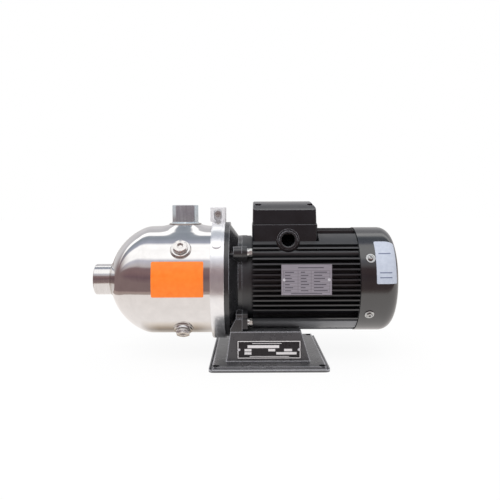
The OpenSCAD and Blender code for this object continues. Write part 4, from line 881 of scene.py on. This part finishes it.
dress(finish("varnished_laminations", ("#5d6063", "#6c6f72"), (0.35, 0.5), 0.5, 0.8,
             stretch=(1, 0.02, 0.02)), "stator_core", "rotor_core")
dress(finish("varnished_copper", ("#9c4f26", "#b7683a"), (0.3, 0.45), 1.2, 0.85, 0.15,
             (0.2, 1, 1)), "stator_windings")
dress(finish("ground_shaft_steel", ("#c2c2c1", "#cdcdcc"), (0.14, 0.22), 0.6, 1.0,
             stretch=(1, 0.05, 0.05)), "shaft")
dress(finish("bearing_steel", ("#c9cacb", "#d3d4d5"), (0.08, 0.14), 3, 1.0),
      "drive_bearing_outer", "drive_bearing_inner", "fan_bearing_outer", "fan_bearing_inner",
      "drive_bearing_balls", "fan_bearing_balls")
motor_black = painted("painted_aluminium", ("#131417", "#1b1c20"), (0.38, 0.46), 1.1, 0.008,
                      speck=0.1, Specular_IOR_Level=1.0)
dress(motor_black, "fan_end_shield", "drive_end_shield")
# Painted sheen: under the barrel the black turns grey and duller, standing in for reflected floor
# light.
barrel_black_sheen = motor_black.copy()
barrel_black_sheen.name = "painted_barrel"
tree = barrel_black_sheen.node_tree
over(barrel_black_sheen, fade(tree, own_place(tree)[2], UNDERSIDE_SHEEN_Z[1], UNDERSIDE_SHEEN_Z[0]), "#848487",
     Specular_IOR_Level=0.2)
dress(barrel_black_sheen, "motor_housing")
dress(zinc, "tie_bolts", "fan_clip")
dress(finish("fan_polypropylene", ("#1d1d1e", "#262627"), (0.45, 0.55), 2), "cooling_fan")

# Fan cover
# A deep-drawn sheet-steel cup over the fan, painted black. Its rear wall is punched with ring
# slots that leave six spokes, and four screws with washers hold its rim to the shield's lugs.

COVER_LO, COVER_HI = (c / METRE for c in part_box("fan_cover"))
COVER_R = (COVER_HI.z - COVER_LO.z) / 2
COVER_EDGE = 20.0
COVER_T = 1.4
SLOTS = [(16 + 8 * k, min(21 + 8 * k, 60.8)) for k in range(6)]
HUB_R = 8.0
SPOKES = 6
SPOKE_HALF = 2.5
SPOKE_COLUMNS = 15  # columns of points from one spoke's edge to the next spoke's
COVER_SCREW_X = 148.9
COVER_SCREW_ANGLES = (28.0, -34.0)


def cover_skin():
    """The cup's outer skin turned about the shaft: a straight rim, a round shoulder, and a flat
    rear wall whose rings stand at the slots' edges. On that wall the columns bend so that each
    spoke keeps its width, and what lies in a slot between two spokes is left out."""
    shoulder = np.linspace(0, math.pi / 2, 17)
    start_x = COVER_HI.x - COVER_EDGE
    rings = [radius for pair in reversed(SLOTS) for radius in reversed(pair)] + [HUB_R]
    x = np.concatenate([np.linspace(COVER_LO.x, start_x, 8)[:-1],
                        start_x + COVER_EDGE * np.sin(shoulder), np.full(len(rings), COVER_HI.x)])
    r = np.concatenate([np.full(7, COVER_R), COVER_R - COVER_EDGE * (1 - np.cos(shoulder)), rings])
    share = np.linspace(0, 1, SPOKE_COLUMNS)[:-1]
    edge = np.arcsin(np.clip(SPOKE_HALF / r, 0, 0.4))[:, None]
    columns = []
    for middle in full_turn(SPOKES) + math.pi / SPOKES:
        columns += [middle - edge, middle + edge + (2 * math.pi / SPOKES - 2 * edge) * share]
    turn = np.concatenate(columns, 1)
    points = round_shaft(x[:, None], r[:, None], np.cos(turn), np.sin(turn))
    return points, len(x) - len(rings)


def punched_cover():
    """The cover as one sheet: the skin's quads without those in the slots, and the hub's disc."""
    points, first_ring = cover_skin()
    index = np.arange(points[..., 0].size).reshape(points.shape[:2])
    quads = quads_of(index, columns_close=True)
    keep = np.ones(quads.shape[:2], bool)
    keep[first_ring:first_ring + 2 * len(SLOTS):2] = np.arange(index.shape[1]) % SPOKE_COLUMNS == 0
    hub = [index[-1].tolist()[::-1]]
    mesh = bpy.data.meshes.new("fan_cover_sheet")
    mesh.from_pydata((points.reshape(-1, 3) * METRE).tolist(), [], quads[keep].tolist() + hub)
    return mesh


sheet_black = painted("painted_sheet_steel", ("#0f1012", "#151618"), (0.13, 0.19), 2.6, 0.008,
                      speck=0.1, IOR=1.6, Specular_IOR_Level=1.0)
thicken(finished("fan_cover_sheet", punched_cover(), sheet_black, "black_paint", ["fan_cover"],
                 crease=40.0), COVER_T)

cover_six = prism(48, 6, 3.5, 100)
screw_zinc = finish("bright_screw_zinc", ("#b6b9bd", "#c8c8c4"), (0.05, 0.1), 3, 1.0)
cover_screw_line = lifted(COVER_R, (
    (-10, 0), (-10, 1.6), (-9.5, 2.0), (0, 2.0), (0.02, 6.7), (0.4, 7.0), (0.9, 7.0), (1.22, 6.7),
    (1.24, 5.1), (0.1, 4.8), (0.1, 3.0), (1.4, 3.1), (1.7, cover_six), (2.9, cover_six),
    (3.6, cover_six - 0.9), (3.8, 2.2), (3.8, 1.9), (1.6, 1.4), (1.6, 0)))
piece("cover_screws_and_washers", [
    about(cover_screw_line, radial_axes(COVER_SCREW_X, height, side), 48)
    for height in COVER_SCREW_ANGLES for side in (1, -1)], screw_zinc, "zinc_steel",
    ["fan_cover_screws"])

# Terminal box
# A die-cast box with its lid, black like the motor. The lid is crowned across its width, has
# round edges all the way, and holds its four screws in round pockets at its corners. A
# moulded board inside carries brass studs, and the gland's two rings stand on the front.

# The box's and lid's upper edges get a painted highlight.
box_black = painted_edge_highlight(painted("painted_box", ("#121316", "#191a1e"), (0.15, 0.22), 1.6, 0.006,
                           speck=0.1, Specular_IOR_Level=0.7), 1.0, "#8e8e94")
eased_casting("terminal_box", "terminal_box_casting", 0.8, box_black, "black_paint")
eased_casting("terminal_lid", "terminal_lid_casting", 1.6, box_black, "black_paint")
dress(zinc, "lid_screws")
dress(finish("moulded_phenolic", ("#3d2217", "#4a2a1d"), (0.4, 0.5), 1.5), "terminal_board")
dress(finish("bright_brass", ("#c9a24a", "#d3b060"), (0.18, 0.28), 1.5, 1.0), "terminal_studs")

GLAND_AXES = ((30.0, 0, SHAFT_Z + 64.5), (0, -1, 0), (1, 0, 0))
GLAND_BACK = 49.02  # how far in front of the shaft the gland meets the box
GLAND_HOLE_R = 9.7
gland_line = corner(lifted(GLAND_BACK, (
    (0, GLAND_HOLE_R), (0, 16.5), (3, 16.5), (3, 14.8), (2.4, 14.6), (2.4, 13.6), (6.9, 13.4),
    (6.9, GLAND_HOLE_R + 1.4), (5.6, GLAND_HOLE_R), (0, GLAND_HOLE_R))), 0.4)
# The gland rings' upper edges get a painted highlight.
gland_plastic = painted_edge_highlight(painted("gland_polyamide", ("#16171a", "#1e1f22"), (0.1, 0.16), 2.5, 0.004,
                               Specular_IOR_Level=1.0), 0.9, "#a2a2a8")
piece("gland_rings", [about(gland_line, GLAND_AXES)], gland_plastic, "black_plastic",
      ["cable_gland"])

# Plates and stickers
# The motor's plate is brushed aluminium with etched rules, the pump's plate black enamel with
# bare metal left standing, both blank and held by aluminium rivets. A plain orange vinyl sheet
# sticks to the casing and a blank paper label to the fan cover's rear edge.

RULE_HALF = 0.18  # half the width of an etched rule
RULE_COLUMNS = (3, 24, 43)  # from the plate's left edge, the first from its right edge too
ENTRY_HALF = 0.7  # half the height of an entry's bar
ENTRY_STARTS = (5, 28, 47)  # from the plate's left edge
BORDER_IN, BORDER_WIDTH = 0.8, 1.1  # the pump plate's bare border
ORANGE_X = (-170.2, -94.4)
ORANGE_ANGLES = (-11.3, 24.6)  # degrees above the horizontal in front
LABEL_FROM_X = 156.5
LABEL_WRAP = 47  # degrees of the cover's shoulder that the label goes round
LABEL_ANGLES = (1.2, 49.3)
STICKER_T = 0.18
STICKER_LIFT = 0.05  # clear space that keeps a sticker off the metal


def marked(mat, boxes, colour, metallic):
    """Lays a colour and a metallic value over a finish where a point lies in any of the boxes
    (x from, x to, z from, z to), in millimetres of the object's own space."""
    tree = mat.node_tree
    place = own_place(tree)
    found = None
    for x0, x1, z0, z1 in boxes:
        along, up = (
            calc(tree, "COMPARE", place[axis], (low + high) / 2 * METRE, (high - low) / 2 * METRE)
            for axis, low, high in ((0, x0, x1), (2, z0, z1)))
        inside = calc(tree, "MULTIPLY", along, up)
        found = calc(tree, "MAXIMUM", found, inside) if found else inside
    return over(mat, found, colour, Metallic=metallic)


def sticker(name, line, low, high, corner_mm, finish_used):
    """A sheet stuck on a turned surface: line is the surface's (x, radius) along the shaft, low
    and high its edges in degrees above the horizontal in front. Its corners are quarter circles,
    and it stands a little off the metal."""
    step = np.hypot(*np.diff(line, axis=0).T)
    along = np.concatenate([[0], np.cumsum(step)])
    slope = np.gradient(line, axis=0)
    slope /= np.hypot(slope[:, :1], slope[:, 1:])
    skin = line + (STICKER_LIFT + STICKER_T) * np.stack([-slope[:, 1], slope[:, 0]], 1)
    from_end = np.clip(corner_mm - np.minimum(along, along[-1] - along), 0, corner_mm)
    inset = (corner_mm - np.sqrt(corner_mm ** 2 - from_end ** 2)) / skin[:, 1]
    low_edge, high_edge = math.radians(low) + inset, math.radians(high) - inset
    turn = low_edge[:, None] + (high_edge - low_edge)[:, None] * np.linspace(0, 1, 49)
    points = round_shaft(skin[:, :1], skin[:, 1:], np.cos(turn), np.sin(turn))
    sheet = piece(name, [(points, False, False)], finish_used, closed=False)
    thicken(sheet, STICKER_T, -1 if sheet.data.polygons[0].normal.y < 0 else 1)


plate_lo, plate_hi = ([c / METRE for c in corner_at] for corner_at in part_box("motor_nameplate"))
left, right = plate_lo[0] + RULE_COLUMNS[0], plate_hi[0] - RULE_COLUMNS[0]
low, high = plate_lo[2] + 4, plate_hi[2] - 9
rules = [(left, right, z - RULE_HALF, z + RULE_HALF) for z in np.linspace(low, high, 8)]
rules += [(x - RULE_HALF, x + RULE_HALF, low, high)
          for x in [plate_lo[0] + column for column in RULE_COLUMNS] + [right]]
entries = [(plate_lo[0] + start, plate_lo[0] + start + width, z - ENTRY_HALF, z + ENTRY_HALF)
           for z, widths in zip(np.linspace(plate_lo[2] + 6.3, plate_hi[2] - 11.3, 7), (
               (9, 11, 20), (12, 7, 14), (7, 12, 18), (14, 9, 9), (10, 8, 16), (8, 11, 12),
               (13, 6, 19)))
           for start, width in zip(ENTRY_STARTS, widths)]
entries += [(plate_lo[0] + 24, plate_hi[0] - 12, plate_hi[2] - 5.4, plate_hi[2] - 4),
            (plate_lo[0] + 14, plate_hi[0] - 14, plate_lo[2] + 1.4, plate_lo[2] + 2.6)]
dress(marked(finish("etched_aluminium_plate", ("#a9a6b0", "#bab7c1"), (0.3, 0.42), 0.7, 0.6,
                    0.004, (0.05, 1, 1)), rules + entries, "#55525c", 0.1), "motor_nameplate")

pump_lo, pump_hi = ([c / METRE for c in corner_at] for corner_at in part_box("pump_nameplate"))
x0, x1 = pump_lo[0] + BORDER_IN, pump_hi[0] - BORDER_IN
z0, z1 = pump_lo[2] + BORDER_IN, pump_hi[2] - BORDER_IN
bare = [(x0, x1, z1 - BORDER_WIDTH, z1), (x0, x1, z0, z0 + BORDER_WIDTH),
        (x0, x0 + BORDER_WIDTH, z0, z1), (x1 - BORDER_WIDTH, x1, z0, z1),
        (-31, 15.5, 26.4, 30.6), (-35.5, -25.3, 21.6, 25.2), (-0.5, 9.7, 21.6, 25.2),
        (22.8, 34.5, 21.6, 25.2), (-35.5, -25.3, 16.9, 20.5), (11.2, 41, 16.9, 20.5),
        (-24, 19, 32.8, 33.6), (-28, 30, 13.8, 14.6)]
dress(marked(finish("black_enamel_plate", ("#1d1b1e", "#252326"), (0.26, 0.36), 3, 0.0, 0.01),
             bare, "#e6e2e3", 0.1), "pump_nameplate")
dress(finish("bare_aluminium", ("#d2d2d8", "#e2e2e8"), (0.24, 0.34), 1, 0.4), "plate_rivets")

orange_line = np.linspace(*[[x, CASING_R] for x in ORANGE_X], 60)
sticker("orange_vinyl_sheet", orange_line, *ORANGE_ANGLES, 1.5,
        finish("orange_vinyl", ("#fb7a1c", "#ff8526"), (0.3, 0.4), 7, 0.0, 0.04, bump_grain=11))
wrap = np.radians(np.linspace(0, LABEL_WRAP, 22))[1:]
shoulder_x, shoulder_r = COVER_HI.x - COVER_EDGE, COVER_R - COVER_EDGE
label_line = np.concatenate([
    np.linspace([LABEL_FROM_X, COVER_R], [shoulder_x, COVER_R], 12),
    np.stack([shoulder_x + COVER_EDGE * np.sin(wrap), shoulder_r + COVER_EDGE * np.cos(wrap)], 1)])
label_bars = [(161, 179, SHAFT_Z + z, SHAFT_Z + z + 1.5) for z in (10, 17, 44)]
sticker("blank_paper_label", label_line, *LABEL_ANGLES, 1.0, marked(
    finish("coated_paper", ("#b3bac9", "#c0c6d3"), (0.36, 0.46), 5, 0.0, 0.02, bump_grain=14),
    label_bars, "#666d86", 0.0))
